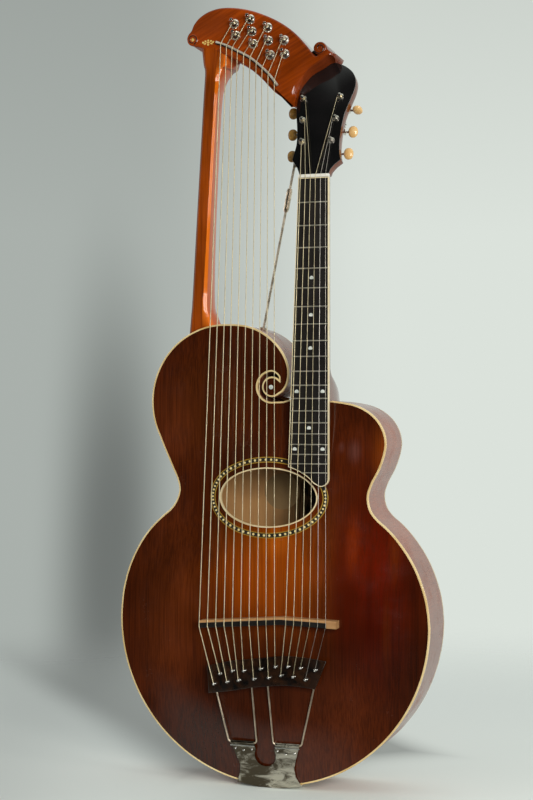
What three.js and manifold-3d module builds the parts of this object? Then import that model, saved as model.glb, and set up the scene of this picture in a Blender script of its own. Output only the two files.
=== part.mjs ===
// Harp guitar: a six-string neck and ten sub-bass strings on one carved body. Millimetres.
// +Z runs up the neck, +X to the treble side and -Y towards the listener. The origin is the middle
// of the tailpiece bracket's foot, under the lowest point of the body and halfway through its depth.
import * as THREE from "three";
import { mergeVertices } from "three/addons/utils/BufferGeometryUtils.js";
import Module from "manifold-3d";

const wasm = await Module();
wasm.setup();

// Clearances shared by all pieces
const seatGap = 0.3;
const runningGap = 0.4;
const cutOverrun = 12;
const weldReach = 0.0001;

// Body outline
const lowerBoutWidth = 463;
const lowerBoutHeight = 467;
const bodyLength = 661;
const bodyBottom = 2;
const scrollRadius = 14.8;
const scrollSlit = 6.8;

// Body depth, plates and ribs
const bodyDepth = 100;
const plateThickness = 4.5;
const ribThickness = 4;
const headBlockDepth = 40;
const scrollBlockThickness = 10;
const tailBlockDepth = 22;
const tailBlockWidth = 90;
const topCrown = 17;
const backCrown = 14;
const carveReach = 125;
const flatBorder = 8;
const bindingWidth = 2.4;

// Soundhole
const soundholeOffset = -1;
const soundholeHeight = 413.5;
const soundholeWidth = 145;
const soundholeLength = 84;
const rosetteMargin = 6.5;

// Neck, fingerboard and nut
const neckOffset = 62;
const bridgeHeight = 240;
const scaleLength = 628.65;
const neckAngle = 2.6;
const boardRise = 33;
const boardThickness = 6;
const boardCornerRise = 28;
const boardCornerRadius = 11;
const boardCornerSweep = 110;
const nutWidth = 45;
const octaveWidth = 55.5;
const nutDepth = 5;
const nutRise = 2;
const neckThicknessAtNut = 15.5;
const neckThicknessAtHeel = 20;
const heelDepth = 104;
const heelLength = 66;
const fretWidth = 2.2;
const fretRise = 1.1;
const fretSeat = 1;
const fretCount = 19;
const octaveFret = 12;

// Headstock
const headstockPitch = 14;
const headstockThickness = 16;
const headstockLength = 177;
const headstockWidth = 86;
const veneerThickness = 1.2;
const veneerDrop = 1;

// Tuning machines of the neck
const postSpacing = 33.7;
const lowestPostHeight = 55.4;
const postRadius = 3;
const postReach = 9;
const collarRadius = 4.9;
const collarThickness = 1.1;
const tunerPlateThickness = 1.2;
const tunerPlateWidth = 17.4;
const wheelTeeth = 14;
const wheelPitchRadius = 9;
const wheelThickness = 2.6;
const wormPitchRadius = 2.9;
const threadHeight = 0.8;
const toothClearance = 0.2;
const threadTurns = 2;
const wormShaftRadius = 1.7;
const earThickness = 2.5;
const earWidth = 6.4;
const earSpacing = 14;
const buttonReach = 20.5;
const buttonLength = 14.4;
const buttonHeight = 17;
const buttonThickness = 7.6;
const machineRelief = 4.5;

// Harp column and harp head
const columnWidth = 22;
const columnDepth = 36;
const columnFootOffset = -119.5;
const columnFootDrop = 38;
const columnFront = -42;
const harpHeadFront = -37;
const harpHeadDepth = 54;
const harpHeadWidth = 214.5;
const harpHeadLength = 161;
const harpHeadRise = 96.85;
const harpHeadReach = 200.5;
const flankDepth = 12;
const flankReach = 12;
const harpNutWidth = 3;
const harpNutRise = 5;

// Harp pins
const pinRadius = 3.4;
const pinReach = 16;
const pinSunkLength = 22;
const pinLean = 12;
const pinTipRadius = 3;
const pinWaistRadius = 2.5;

// Bridge and strings
const bridgeWidth = 202;
const bridgeOffset = 5;
const bridgeThickness = 10.5;
const saddleThickness = 5;
const saddleHeight = 4.5;
const saddleRise = 35.2;
const harpSpacing = 12.53;
const neckSpacing = 11.62;
const firstHarpOffset = -95.7;
const firstNeckOffset = 33.6;
const nutSpacing = 7.4;
const heaviestHarpRadius = 0.95;
const lightestHarpRadius = 0.6;
const heaviestNeckRadius = 0.65;
const lightestNeckRadius = 0.2;
const harpPinStringRise = 6.5;

// Tailpiece
const hingeHeight = 64;
const hingeOffset = -3.5;
const hingeWireRadius = 1.2;
const knuckleRadius = 2.7;
const wingInner = 16;
const wingOuter = 51;
const bracketThickness = 1.7;
const bracketWaist = 40;
const bracketCutRadius = 17;
const footHalfWidth = 48;
const footReach = 66;
const tailPlateWidth = 177;
const tailPlateHeight = 42;
const tailPlateMiddle = 169;
const tailPlateThickness = 3.5;
const tailRise = 13;
const tailBendHeight = 140;
const crosspieceSlope = 0.04;
const hitchPinRadius = 1.5;
const hitchPinRise = 5;

// Brace rod and turnbuckle
const rodRadius = 1.8;
const rodFootOffset = -27.5;
const rodFootDrop = 6;
const rodFootDepth = -5;
const rodTopSide = -35.2;
const rodTopHeight = 30;
const rodFlangeRadius = 5;
const rodFlangeThickness = 2.5;
const rodTabWidth = 12;
const rodTabHeight = 11;
const rodTabThickness = 2;
const turnbuckleLength = 34;
const turnbuckleRadius = 4.3;
const turnbuckleNeckRadius = 3.2;
const turnbuckleShare = 0.782;
const threadEngagement = 8;

// Places that follow from the sizes above
const frontEdge = -bodyDepth / 2;
const backEdge = bodyDepth / 2;
const lowerBoutMiddle = bodyBottom + lowerBoutHeight / 2;
const bodyTop = bodyBottom + bodyLength;
const upperReach = bodyTop - lowerBoutMiddle;
const boardCornerHeight = soundholeHeight + boardCornerRise;
const nutHeight = bridgeHeight + scaleLength;
const harpHeadBottom = nutHeight + harpHeadRise;
const harpHeadLeft = neckOffset - harpHeadReach;
const neckSlope = Math.tan(THREE.MathUtils.degToRad(neckAngle));
const saddleFront = frontEdge - saddleRise;
const wheelDistance = wheelPitchRadius + wormPitchRadius;
const wormLead = (2 * Math.PI * wheelPitchRadius) / wheelTeeth;
const tunerPlateFront = headstockThickness + seatGap;
const tunerPlateBack = tunerPlateFront + tunerPlateThickness;
const wheelMiddle = tunerPlateBack + runningGap + wormPitchRadius + threadHeight;

const { BufferGeometry, Path, Shape, ShapeUtils, Vector2, Vector3 } = THREE;
const radians = THREE.MathUtils.degToRad;

function finish(color, roughness, metalness = 0) {
  return new THREE.MeshStandardMaterial({ color, roughness, metalness });
}

const darkVarnish = finish(0x5a2408, 0.25);
const amberVarnish = finish(0x9a4410, 0.22);
const ivoroid = finish(0xe8cf90, 0.35);
const ebony = finish(0x14110f, 0.4);
const blackVeneer = finish(0x070707, 0.15);
const bone = finish(0xefe8d2, 0.4);
const paleWood = finish(0xb87333, 0.4);
const tortoise = finish(0x23140c, 0.25);
const amberButton = finish(0xe9b866, 0.3);
const nickel = finish(0xb9b4a6, 0.3, 1);
const darkSteel = finish(0x4c4a45, 0.45, 1);
const bronze = finish(0x9c9078, 0.35, 1);

const harpGuitar = new THREE.Group();

function place(name, geometry, material, parent = harpGuitar) {
  const mesh = new THREE.Mesh(geometry, material);
  mesh.name = name;
  parent.add(mesh);
}

// Joins and cuts of closed bodies

function solidOf(geometry) {
  const bare = geometry.clone();
  bare.deleteAttribute("normal");
  bare.deleteAttribute("uv");
  const welded = mergeVertices(bare, weldReach);
  const mesh = new wasm.Mesh({
    numProp: 3,
    vertProperties: new Float32Array(welded.attributes.position.array),
    triVerts: new Uint32Array(welded.index.array),
  });
  mesh.merge();
  return new wasm.Manifold(mesh);
}

function geometryOf(solid) {
  const mesh = solid.getMesh();
  const geometry = new BufferGeometry();
  geometry.setAttribute("position", new THREE.BufferAttribute(mesh.vertProperties, 3));
  geometry.setIndex(new THREE.BufferAttribute(mesh.triVerts, 1));
  return geometry;
}

function join(...geometries) {
  return geometryOf(geometries.map(solidOf).reduce((whole, next) => whole.add(next)));
}

function cut(geometry, ...tools) {
  return geometryOf(tools.map(solidOf).reduce((left, tool) => left.subtract(tool), solidOf(geometry)));
}

// Closed bodies made from points

function closedBody(positions, faces) {
  const volume = faces.reduce((sum, [i, j, k]) => {
    const across = new Vector3().crossVectors(positions[j], positions[k]);
    return sum + positions[i].dot(across);
  }, 0);
  const outward = volume < 0 ? faces.map(([i, j, k]) => [i, k, j]) : faces;
  const geometry = new BufferGeometry().setFromPoints(positions);
  geometry.setIndex(outward.flat());
  return geometry;
}

// The faces of a flat ring, walked along the ring's own order or against it.
function capFaces(ring, offset, alongRing) {
  const ringTurn = Math.sign(ShapeUtils.area(ring));
  return ShapeUtils.triangulateShape(ring, []).map(([i, j, k]) => {
    const same = Math.sign(ShapeUtils.area([ring[i], ring[j], ring[k]])) === ringTurn;
    return same === alongRing ? [i + offset, j + offset, k + offset] : [i + offset, k + offset, j + offset];
  });
}

// A body through rings of equal point counts; flat gives a ring point's place in the caps' plane.
function loft(rings, flat) {
  const count = rings[0].length;
  const faces = [];
  for (let ring = 0; ring < rings.length - 1; ring++) {
    for (let i = 0; i < count; i++) {
      const a = ring * count + i;
      const b = ring * count + ((i + 1) % count);
      faces.push([a, b, b + count], [a, b + count, a + count]);
    }
  }
  faces.push(...capFaces(rings[0].map(flat), 0, false));
  faces.push(...capFaces(rings.at(-1).map(flat), (rings.length - 1) * count, true));
  return closedBody(rings.flat(), faces);
}

const seenFromFront = (point) => new Vector2(point.x, point.z);
const seenFromAbove = (point) => new Vector2(point.x, point.y);

// A sheet between two surfaces over an outline; inner rings give the surfaces their shape.
function carvedSheet(rings, frontOf, backOf) {
  const points = rings.flat();
  const count = points.length;
  const border = rings[0].length;
  const faces = [];
  let start = 0;
  rings.forEach((ring, index) => {
    const holes = index + 1 < rings.length ? [rings[index + 1]] : [];
    for (const found of ShapeUtils.triangulateShape(ring, holes)) {
      const face = found.map((i) => i + start);
      const turn = ShapeUtils.area(face.map((i) => points[i]));
      const [i, j, k] = turn > 0 ? face : [face[0], face[2], face[1]];
      faces.push([i, j, k], [i + count, k + count, j + count]);
    }
    start += ring.length;
  });
  const outlineTurn = ShapeUtils.area(rings[0]) > 0;
  for (let n = 0; n < border; n++) {
    const next = (n + 1) % border;
    const [i, j] = outlineTurn ? [n, next] : [next, n];
    faces.push([j, i, i + count], [j, i + count, j + count]);
  }
  const front = points.map((p) => new Vector3(p.x, frontOf(p.x, p.y), p.y));
  const back = points.map((p) => new Vector3(p.x, backOf(p.x, p.y), p.y));
  return closedBody([...front, ...back], faces);
}

// A flat plate between two depths. Its outline and its holes are given in the same turn.
function plate(outline, holes, front, back) {
  const shape = new Shape(outline);
  shape.holes.push(...holes.map((hole) => new Path([...hole].reverse())));
  const geometry = new THREE.ExtrudeGeometry(shape, { depth: back - front, bevelEnabled: false });
  return geometry.rotateX(Math.PI / 2).translate(0, back, 0);
}

// A rod or drilling tool that runs along Y, X or any line.
function rodAlongY(radius, front, back, x, z, sides = 12) {
  const geometry = new THREE.CylinderGeometry(radius, radius, back - front, sides);
  return geometry.translate(x, (front + back) / 2, z);
}

function rodAlongX(radius, left, right, y, z, sides = 12) {
  const geometry = new THREE.CylinderGeometry(radius, radius, right - left, sides);
  return geometry.rotateZ(Math.PI / 2).translate((left + right) / 2, y, z);
}

function block(x0, x1, y0, y1, z0, z1) {
  const geometry = new THREE.BoxGeometry(x1 - x0, y1 - y0, z1 - z0);
  return geometry.translate((x0 + x1) / 2, (y0 + y1) / 2, (z0 + z1) / 2);
}

// A path with one ring of a tube at each of its points.
class Route extends THREE.Curve {
  constructor(points) {
    super();
    this.points = points;
    this.last = points.length - 1;
  }

  getPoint(share, target = new Vector3()) {
    const along = share * this.last;
    const index = Math.min(Math.floor(along), this.last - 1);
    return target.lerpVectors(this.points[index], this.points[index + 1], along - index);
  }

  getPointAt(share, target) {
    return this.getPoint(share, target);
  }

  getTangentAt(share, target = new Vector3()) {
    const index = Math.round(share * this.last);
    const here = this.points[index];
    const before = here.clone().sub(this.points[Math.max(index - 1, 0)]).normalize();
    const after = this.points[Math.min(index + 1, this.last)].clone().sub(here).normalize();
    return target.addVectors(before, after).normalize();
  }
}

function arcPoints(x, z, radius, fromDegrees, toDegrees, steps) {
  return Array.from({ length: steps + 1 }, (_, step) => {
    const angle = radians(fromDegrees + ((toDegrees - fromDegrees) * step) / steps);
    return new Vector2(x + radius * Math.cos(angle), z + radius * Math.sin(angle));
  });
}

function tube(points, radius, sides = 8) {
  const section = new Shape(arcPoints(0, 0, radius, 0, 360, sides).slice(0, sides));
  const route = new Route(points);
  return new THREE.ExtrudeGeometry(section, { steps: route.last, extrudePath: route });
}

// A turned piece along Y, from pairs of radius and place on the axis.
function turned(profile, sides) {
  return new THREE.LatheGeometry(profile.map(([radius, along]) => new Vector2(radius, along)), sides);
}

// A smooth stretch of outline through a few chosen points.
function smoothRun(points, steps) {
  const curve = new THREE.CatmullRomCurve3(points.map((p) => new Vector3(p.x, 0, p.y)), false, "centripetal");
  return curve.getPoints(steps).map(seenFromFront);
}

// The outline moved inwards by a depth, or outwards by a negative one. The outline runs clockwise.
function inset(outline, depthAt) {
  const count = outline.length;
  return outline.map((point, index) => {
    const before = outline[(index + count - 1) % count];
    const after = outline[(index + 1) % count];
    const inward = [point.clone().sub(before), after.clone().sub(point)]
      .map((side) => new Vector2(side.y, -side.x).normalize())
      .reduce((sum, side) => sum.add(side))
      .normalize();
    const side = after.clone().sub(point).normalize();
    const lean = Math.max(inward.dot(new Vector2(side.y, -side.x)), 0.5);
    const depth = typeof depthAt === "function" ? depthAt(point) : depthAt;
    return point.clone().addScaledVector(inward, depth / lean);
  });
}

function distanceToLoop(loop, x, z) {
  let nearest = Infinity;
  let inside = false;
  for (let i = 0; i < loop.length; i++) {
    const a = loop[i];
    const b = loop[(i + 1) % loop.length];
    const length = (b.x - a.x) ** 2 + (b.y - a.y) ** 2;
    const share = THREE.MathUtils.clamp(((x - a.x) * (b.x - a.x) + (z - a.y) * (b.y - a.y)) / length, 0, 1);
    nearest = Math.min(nearest, Math.hypot(a.x + share * (b.x - a.x) - x, a.y + share * (b.y - a.y) - z));
    const crosses = a.y > z !== b.y > z && x < a.x + ((z - a.y) / (b.y - a.y)) * (b.x - a.x);
    inside = crosses ? !inside : inside;
  }
  return inside ? nearest : 0;
}

// Body outline: shares of half the lower bout's width, and of the reach from the middle of the
// lower bout to the top of the body.
const bodyPoint = ([xShare, zShare]) =>
  new Vector2((xShare * lowerBoutWidth) / 2, lowerBoutMiddle + zShare * upperReach);

const trebleShares = [
  [0.389, 0.739], [0.459, 0.734], [0.535, 0.725], [0.61, 0.706], [0.672, 0.677], [0.714, 0.638],
  [0.728, 0.6], [0.718, 0.561], [0.685, 0.51], [0.64, 0.463], [0.618, 0.423], [0.632, 0.38],
  [0.671, 0.351], [0.723, 0.327], [0.774, 0.3], [0.826, 0.266], [0.877, 0.226], [0.919, 0.184],
  [0.954, 0.136], [0.98, 0.088], [0.994, 0.043],
];
const waistShares = [
  [-0.998, 0.03], [-0.989, 0.08], [-0.97, 0.128], [-0.944, 0.173], [-0.91, 0.215], [-0.869, 0.255],
  [-0.825, 0.289], [-0.77, 0.322], [-0.713, 0.35], [-0.661, 0.374], [-0.626, 0.403], [-0.609, 0.436],
  [-0.622, 0.471], [-0.652, 0.507], [-0.721, 0.589],
];
const upperBoutShares = [-0.315, 0.738];
const upperBoutRadiusShares = [0.482, 0.261];
const shoulderShares = [
  [-0.245, 0.998], [-0.18, 0.994], [-0.122, 0.985], [-0.067, 0.971], [-0.018, 0.953], [0.025, 0.932],
  [0.062, 0.907], [0.089, 0.881], [0.105, 0.856], [0.111, 0.834], [0.108, 0.812], [0.096, 0.789],
  [0.07, 0.769],
];
const scrollShares = [0, 0.786];
const neckJointShares = [[0.074, 0.737], [0.117, 0.743], [0.142, 0.742]];
const carvingBorderShares = [
  [-0.026, 0.859], [-0.134, 0.831], [-0.164, 0.773], [-0.086, 0.708], [0.108, 0.689],
];

const shoulderHeight = bodyPoint(upperBoutShares).y;

function lowerBout(fromDegrees, toDegrees, steps) {
  return arcPoints(0, 0, 1, fromDegrees, toDegrees, steps).map(
    (p) => new Vector2((p.x * lowerBoutWidth) / 2, lowerBoutMiddle + (p.y * lowerBoutHeight) / 2),
  );
}

function upperBout(fromDegrees, toDegrees, steps) {
  const [middle, radius] = [upperBoutShares, upperBoutRadiusShares];
  return arcPoints(0, 0, 1, fromDegrees, toDegrees, steps).map((p) =>
    bodyPoint([middle[0] + p.x * radius[0], middle[1] + p.y * radius[1]]),
  );
}

// The scroll: a round eye, the crescent slit that runs round it, and the slit's outer wall.
function scrollStretch() {
  const centre = bodyPoint(scrollShares);
  const eye = arcPoints(centre.x, centre.y, scrollRadius, -52, -318, 11);
  const wall = Array.from({ length: 11 }, (_, step) => {
    const degrees = 52 + (step / 10) * 218;
    const opening = Math.min((degrees - 40) / 50, 1) ** 0.7;
    return arcPoints(centre.x, centre.y, scrollRadius + scrollSlit * opening, degrees, degrees, 1)[0];
  });
  return [...eye, ...wall];
}

const shellOutline = [
  ...smoothRun(trebleShares.map(bodyPoint), 34),
  ...lowerBout(0, -180, 24),
  ...smoothRun(waistShares.map(bodyPoint), 20),
  ...upperBout(205, 90, 12),
  ...smoothRun(shoulderShares.map(bodyPoint), 18),
];
const bodyOutline = [...shellOutline, ...scrollStretch(), ...neckJointShares.map(bodyPoint)];
const carvingLoop = [...shellOutline, ...carvingBorderShares.map(bodyPoint)];

// The carving: a flat border, a hollowed rise and a broad crown.
function carvingHeight(crown, x, z) {
  const depth = distanceToLoop(carvingLoop, x, z);
  const share = THREE.MathUtils.clamp((depth - flatBorder) / (carveReach - flatBorder), 0, 1);
  return crown * Math.sin((share * Math.PI) / 2) ** 1.4;
}

const topSurface = (x, z) => frontEdge - carvingHeight(topCrown, x, z);
const backSurface = (x, z) => backEdge + carvingHeight(backCrown, x, z);

// Inner rings of the carving: level lines of the distance to the border, thinned out.
function carvingRings() {
  const depthShares = [0.09, 0.2, 0.4, 0.7, 0.94];
  const spacingShares = [0.13, 0.18, 0.26, 0.34, 0.5];
  return depthShares.map((depthShare, index) => {
    const depth = depthShare * carveReach;
    const ring = [];
    for (const point of inset(carvingLoop, depth)) {
      const clear = distanceToLoop(carvingLoop, point.x, point.y) > depth * 0.98;
      const spaced = !ring.length || point.distanceTo(ring.at(-1)) > spacingShares[index] * carveReach;
      if (clear && spaced) ring.push(point);
    }
    if (ring.at(-1).distanceTo(ring[0]) < (spacingShares[index] * carveReach) / 2) ring.pop();
    return ring;
  });
}

const innerRings = carvingRings();

function ellipse(widthRadius, heightRadius, steps) {
  return arcPoints(0, 0, 1, 360 / steps, 360, steps - 1).map(
    (p) => new Vector2(soundholeOffset + p.x * widthRadius, soundholeHeight + p.y * heightRadius),
  );
}

// Plates: the carved top with its oval hole, and the carved back.
function bodyPlates() {
  const rings = [inset(bodyOutline, bindingWidth + seatGap), ...innerRings];
  const top = carvedSheet(rings, topSurface, (x, z) => topSurface(x, z) + plateThickness);
  const hole = ellipse(soundholeWidth / 2, soundholeLength / 2, 40);
  const holeTool = plate(hole, [], frontEdge - topCrown - cutOverrun, frontEdge + cutOverrun);
  place("top_plate", cut(top, holeTool), darkVarnish);
  const back = carvedSheet(rings, (x, z) => backSurface(x, z) - plateThickness, backSurface);
  place("back_plate", back, darkVarnish);
}

// Rim: the bent ribs, with the head, scroll and tail blocks as one glued frame.
function rim() {
  const depthAt = (point) => {
    const besideTail = point.y < lowerBoutMiddle ? Math.abs(point.x) / (tailBlockWidth / 2) : 1;
    return Math.max(tailBlockDepth * (1 - besideTail ** 6), ribThickness);
  };
  const eye = bodyPoint(scrollShares);
  const blockRadius = scrollRadius + scrollSlit + scrollBlockThickness;
  const scrollBlock = arcPoints(eye.x, eye.y, blockRadius, 60, 240, 6);
  const ribs = inset(carvingLoop, depthAt)
    .slice(1, shellOutline.length - 1)
    .filter((point) => point.distanceTo(eye) > blockRadius + ribThickness / 2);
  const underNeck = [
    new Vector2(scrollBlock.at(-1).x, shoulderHeight - headBlockDepth),
    new Vector2(ribs[0].x, shoulderHeight - headBlockDepth),
  ];
  const front = frontEdge + plateThickness + seatGap;
  const hollow = [...ribs, ...scrollBlock, ...underNeck];
  place("rim", plate(bodyOutline, [hollow], front, -front), darkVarnish);
}

// Bindings: ivoroid strips let into both corners of the body, all round the outline and its scroll.
function bindings() {
  const inner = inset(bodyOutline, bindingWidth);
  const strip = (front, back) => plate(bodyOutline, [inner], front, back);
  place("top_binding", strip(frontEdge, frontEdge + plateThickness), ivoroid);
  place("back_binding", strip(backEdge - plateThickness, backEdge), ivoroid);
}

// What lies against the body is shaped with this tool, which stands a seat's gap proud of it.
const bodyTool = carvedSheet(
  [inset(bodyOutline, -seatGap), ...innerRings],
  (x, z) => topSurface(x, z) - seatGap,
  () => backEdge + seatGap,
);

// Fingerboard and neck

const boardTop = (z) => frontEdge - boardRise + (z - bridgeHeight) * neckSlope;
const boardBottom = (z) => boardTop(z) + boardThickness;
const boardHalfWidth = (z) =>
  (nutWidth + ((octaveWidth - nutWidth) * (nutHeight - z)) / (scaleLength / 2)) / 2;

// The end of the board follows the inlaid ring round the soundhole, and rounds up at the treble side.
function boardOutline(inward) {
  const endWidth = soundholeWidth / 2 + rosetteMargin + inward;
  const endLength = soundholeLength / 2 + rosetteMargin + inward;
  const bassSide = neckOffset - boardHalfWidth(boardCornerHeight) + inward;
  const cornerX = neckOffset + boardHalfWidth(boardCornerHeight) - boardCornerRadius;
  const turnAt = (x) => THREE.MathUtils.radToDeg(Math.acos((x - soundholeOffset) / endWidth));
  const end = arcPoints(0, 0, 1, turnAt(bassSide), turnAt(cornerX - boardCornerRadius), 6).map(
    (p) => new Vector2(soundholeOffset + p.x * endWidth, soundholeHeight + p.y * endLength),
  );
  const corner = arcPoints(cornerX, boardCornerHeight, boardCornerRadius - inward, -boardCornerSweep, 0, 5);
  const top = nutHeight - inward;
  return [
    new Vector2(neckOffset - boardHalfWidth(top) + inward, top),
    ...end,
    ...corner,
    new Vector2(neckOffset + boardHalfWidth(top) - inward, top),
  ];
}

const sheared = (outline, frontOf, backOf) =>
  carvedSheet([outline], (x, z) => frontOf(z), (x, z) => backOf(z));

function fretboard() {
  const outline = boardOutline(0);
  const board = sheared(outline, boardTop, (z) => boardBottom(z));
  const frets = Array.from({ length: fretCount }, (_, index) => {
    const z = bridgeHeight + scaleLength * 2 ** (-(index + 1) / octaveFret);
    const half = boardHalfWidth(z) - seatGap;
    const bar = [
      new Vector2(neckOffset - half, z - fretWidth / 2),
      new Vector2(neckOffset + half, z - fretWidth / 2),
      new Vector2(neckOffset + half, z + fretWidth / 2),
      new Vector2(neckOffset - half, z + fretWidth / 2),
    ];
    return sheared(bar, (height) => boardTop(height) - fretRise, (height) => boardTop(height) + fretSeat);
  });
  const overEnd = frets.slice(-2).map(solidOf);
  const above = (z) => boardTop(z) - cutOverrun;
  const below = (z) => boardBottom(z) + cutOverrun;
  const boardSpace = solidOf(sheared(outline, above, below));
  const trimmed = overEnd.map((fret) => geometryOf(fret.intersect(boardSpace)));
  place("fretboard", join(board, ...frets.slice(0, -2), ...trimmed), ebony);
}

// The nut is flat where the strings leave it for the board, and falls away towards the headstock.
function nut() {
  const front = boardTop(nutHeight) - nutRise;
  const profile = [
    [boardBottom(nutHeight), seatGap],
    [boardBottom(nutHeight), nutDepth],
    [front + nutRise * 0.6, nutDepth],
    [front, nutDepth / 2],
    [front, seatGap],
  ];
  const ends = [-1, 1].map((side) =>
    profile.map(([y, up]) => new Vector3(neckOffset + (side * nutWidth) / 2, y, nutHeight + up)),
  );
  place("nut", loft(ends, (point) => new Vector2(point.y, point.z)), bone);
}

// Headstock frame: x across, y backwards from the veneer's face and z up the headstock from the nut.
const headstockFrame = new THREE.Matrix4()
  .makeRotationX(-radians(headstockPitch))
  .setPosition(neckOffset, boardTop(nutHeight) + veneerDrop, nutHeight);
const headstock = new THREE.Group();
headstock.applyMatrix4(headstockFrame);
harpGuitar.add(headstock);

const headstockShares = [
  [-0.251, 0.034], [-0.299, 0.093], [-0.393, 0.159], [-0.379, 0.2], [-0.342, 0.294], [-0.353, 0.433],
  [-0.386, 0.573], [-0.374, 0.702], [-0.287, 0.818], [-0.151, 0.9], [0.052, 0.958], [0.184, 1],
  [0.322, 0.986], [0.453, 0.949], [0.556, 0.898], [0.606, 0.831], [0.595, 0.756], [0.527, 0.653],
  [0.45, 0.538], [0.414, 0.423], [0.401, 0.296], [0.415, 0.201], [0.443, 0.148], [0.345, 0.109],
  [0.279, 0.069], [0.255, 0.034],
];
const headstockOutline = headstockShares.map(
  ([xShare, zShare]) => new Vector2(xShare * headstockWidth, zShare * headstockLength),
);

// The posts stand in two rows, which follow the headstock's edges.
const postSideShares = { bass: [-0.243, -0.262, -0.28], treble: [0.262, 0.313, 0.364] };
const posts = ["bass", "treble"].flatMap((side) =>
  postSideShares[side].map((share, index) => ({
    side,
    number: index + 1,
    outward: side === "bass" ? -1 : 1,
    x: share * headstockWidth,
    z: lowestPostHeight + index * postSpacing,
  })),
);

// Neck: shaft, heel and the tongue under the board's end, with the headstock wood glued on.
const neckRoundShare = 0.78;

function neckSection(z, thickness, halfWidth) {
  const front = boardBottom(z) + seatGap;
  const back = Array.from({ length: 7 }, (_, index) => {
    const angle = radians(15 + index * 25);
    const across = Math.sign(Math.cos(angle)) * Math.abs(Math.cos(angle)) ** neckRoundShare;
    const down = Math.sin(angle) ** neckRoundShare;
    return new Vector3(neckOffset + halfWidth * across, front + thickness * down, z);
  });
  const edge = (x) => new Vector3(x, front, z);
  return [edge(neckOffset + halfWidth), ...back, edge(neckOffset - halfWidth)];
}

// Down the heel: shares of its length, and how far it has swelled towards its full depth.
const heelShares = [
  [0.3, 0.03], [0.43, 0.18], [0.52, 0.44], [0.62, 0.68], [0.75, 0.87], [0.88, 0.96], [1, 1],
];

function neck() {
  const heelTop = shoulderHeight + heelLength;
  const halfAt = (z) => boardHalfWidth(Math.min(z, nutHeight)) - seatGap;
  const stations = [
    [nutHeight + nutDepth + headstockThickness, neckThicknessAtNut],
    [nutHeight, neckThicknessAtNut],
    [heelTop, neckThicknessAtHeel],
    ...heelShares.map(([down, swell]) => [
      heelTop - (heelLength + seatGap) * down,
      neckThicknessAtHeel + (heelDepth - neckThicknessAtHeel) * swell,
    ]),
  ];
  const shaft = loft(
    stations.map(([z, thickness]) => neckSection(z, thickness, halfAt(z))),
    seenFromAbove,
  );
  const tongueHalf = boardHalfWidth(shoulderHeight) - boardThickness / 2;
  const tongue = [
    new Vector2(neckOffset - tongueHalf, shoulderHeight + heelLength / 4),
    new Vector2(neckOffset + tongueHalf, shoulderHeight + heelLength / 4),
    new Vector2(neckOffset + tongueHalf, boardCornerHeight + boardCornerRadius),
    new Vector2(neckOffset - tongueHalf, boardCornerHeight + boardCornerRadius * 2),
  ];
  const tongueBody = sheared(tongue, (z) => boardBottom(z) + seatGap, () => frontEdge + cutOverrun);
  const wood = plate(headstockOutline, [], veneerThickness + seatGap, headstockThickness);
  const postHoles = posts.map((post) =>
    rodAlongY(postRadius + runningGap, -cutOverrun, headstockThickness + cutOverrun, post.x, post.z, 10),
  );
  const headWood = cut(wood, ...postHoles).applyMatrix4(headstockFrame);
  const underNut = [
    new Vector2(neckOffset - nutWidth, nutHeight + nutDepth + seatGap),
    new Vector2(neckOffset + nutWidth, nutHeight + nutDepth + seatGap),
    new Vector2(neckOffset + nutWidth, nutHeight + headstockLength),
    new Vector2(neckOffset - nutWidth, nutHeight + headstockLength),
  ];
  const faceTool = plate(
    inset(headstockOutline, -cutOverrun),
    [],
    -cutOverrun * 3,
    veneerThickness + seatGap,
  ).applyMatrix4(headstockFrame);
  const aboveNut = geometryOf(
    solidOf(faceTool).intersect(solidOf(sheared(underNut, () => frontEdge * 3, () => backEdge))),
  );
  const nutSpace = block(
    neckOffset - nutWidth,
    neckOffset + nutWidth,
    frontEdge * 2,
    boardBottom(nutHeight) + seatGap,
    nutHeight + seatGap,
    nutHeight + nutDepth + seatGap,
  );
  place("neck", cut(join(cut(shaft, aboveNut), headWood, tongueBody), bodyTool, nutSpace), amberVarnish);
  const veneer = plate(headstockOutline, [], 0, veneerThickness);
  place("headstock_veneer", cut(veneer, ...postHoles), blackVeneer, headstock);
}

// Tuning machines: a plate with bearing ears on the headstock's back, and for each string a post
// with a worm wheel, and a worm on the shaft of an amber button.
function tunerPlates() {
  for (const side of ["bass", "treble"]) {
    const row = posts.filter((post) => post.side === side);
    const [low, high] = [row[0], row.at(-1)];
    const half = tunerPlateWidth / 2;
    const bottom = low.z - wheelDistance - earWidth;
    const top = high.z + half;
    const lean = (high.x - low.x) / (high.z - low.z);
    const across = (z) => low.x + (z - low.z) * lean;
    const outline = [
      new Vector2(across(bottom) - half, bottom),
      new Vector2(across(bottom) + half, bottom),
      new Vector2(across(top) + half, top),
      new Vector2(across(top) - half, top),
    ];
    let body = plate(outline, [], tunerPlateFront, tunerPlateBack);
    const tools = [];
    for (const post of row) {
      const shaftHeight = post.z - wheelDistance;
      for (const end of [-1, 1]) {
        const inner = post.x + (end * earSpacing) / 2;
        const [left, right] = [inner, inner + end * earThickness].sort((a, b) => a - b);
        const ear = block(
          left,
          right,
          tunerPlateBack - tunerPlateThickness / 2,
          wheelMiddle + earWidth / 2,
          shaftHeight - earWidth / 2,
          shaftHeight + earWidth / 2,
        );
        body = join(body, ear);
      }
      tools.push(
        rodAlongY(postRadius + runningGap, 0, tunerPlateBack + seatGap, post.x, post.z, 10),
        rodAlongX(
          wormShaftRadius + seatGap,
          post.x - buttonReach,
          post.x + buttonReach,
          wheelMiddle,
          shaftHeight,
          10,
        ),
      );
    }
    place(`tuner_plate_${side}`, cut(body, ...tools), nickel, headstock);
  }
}

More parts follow.
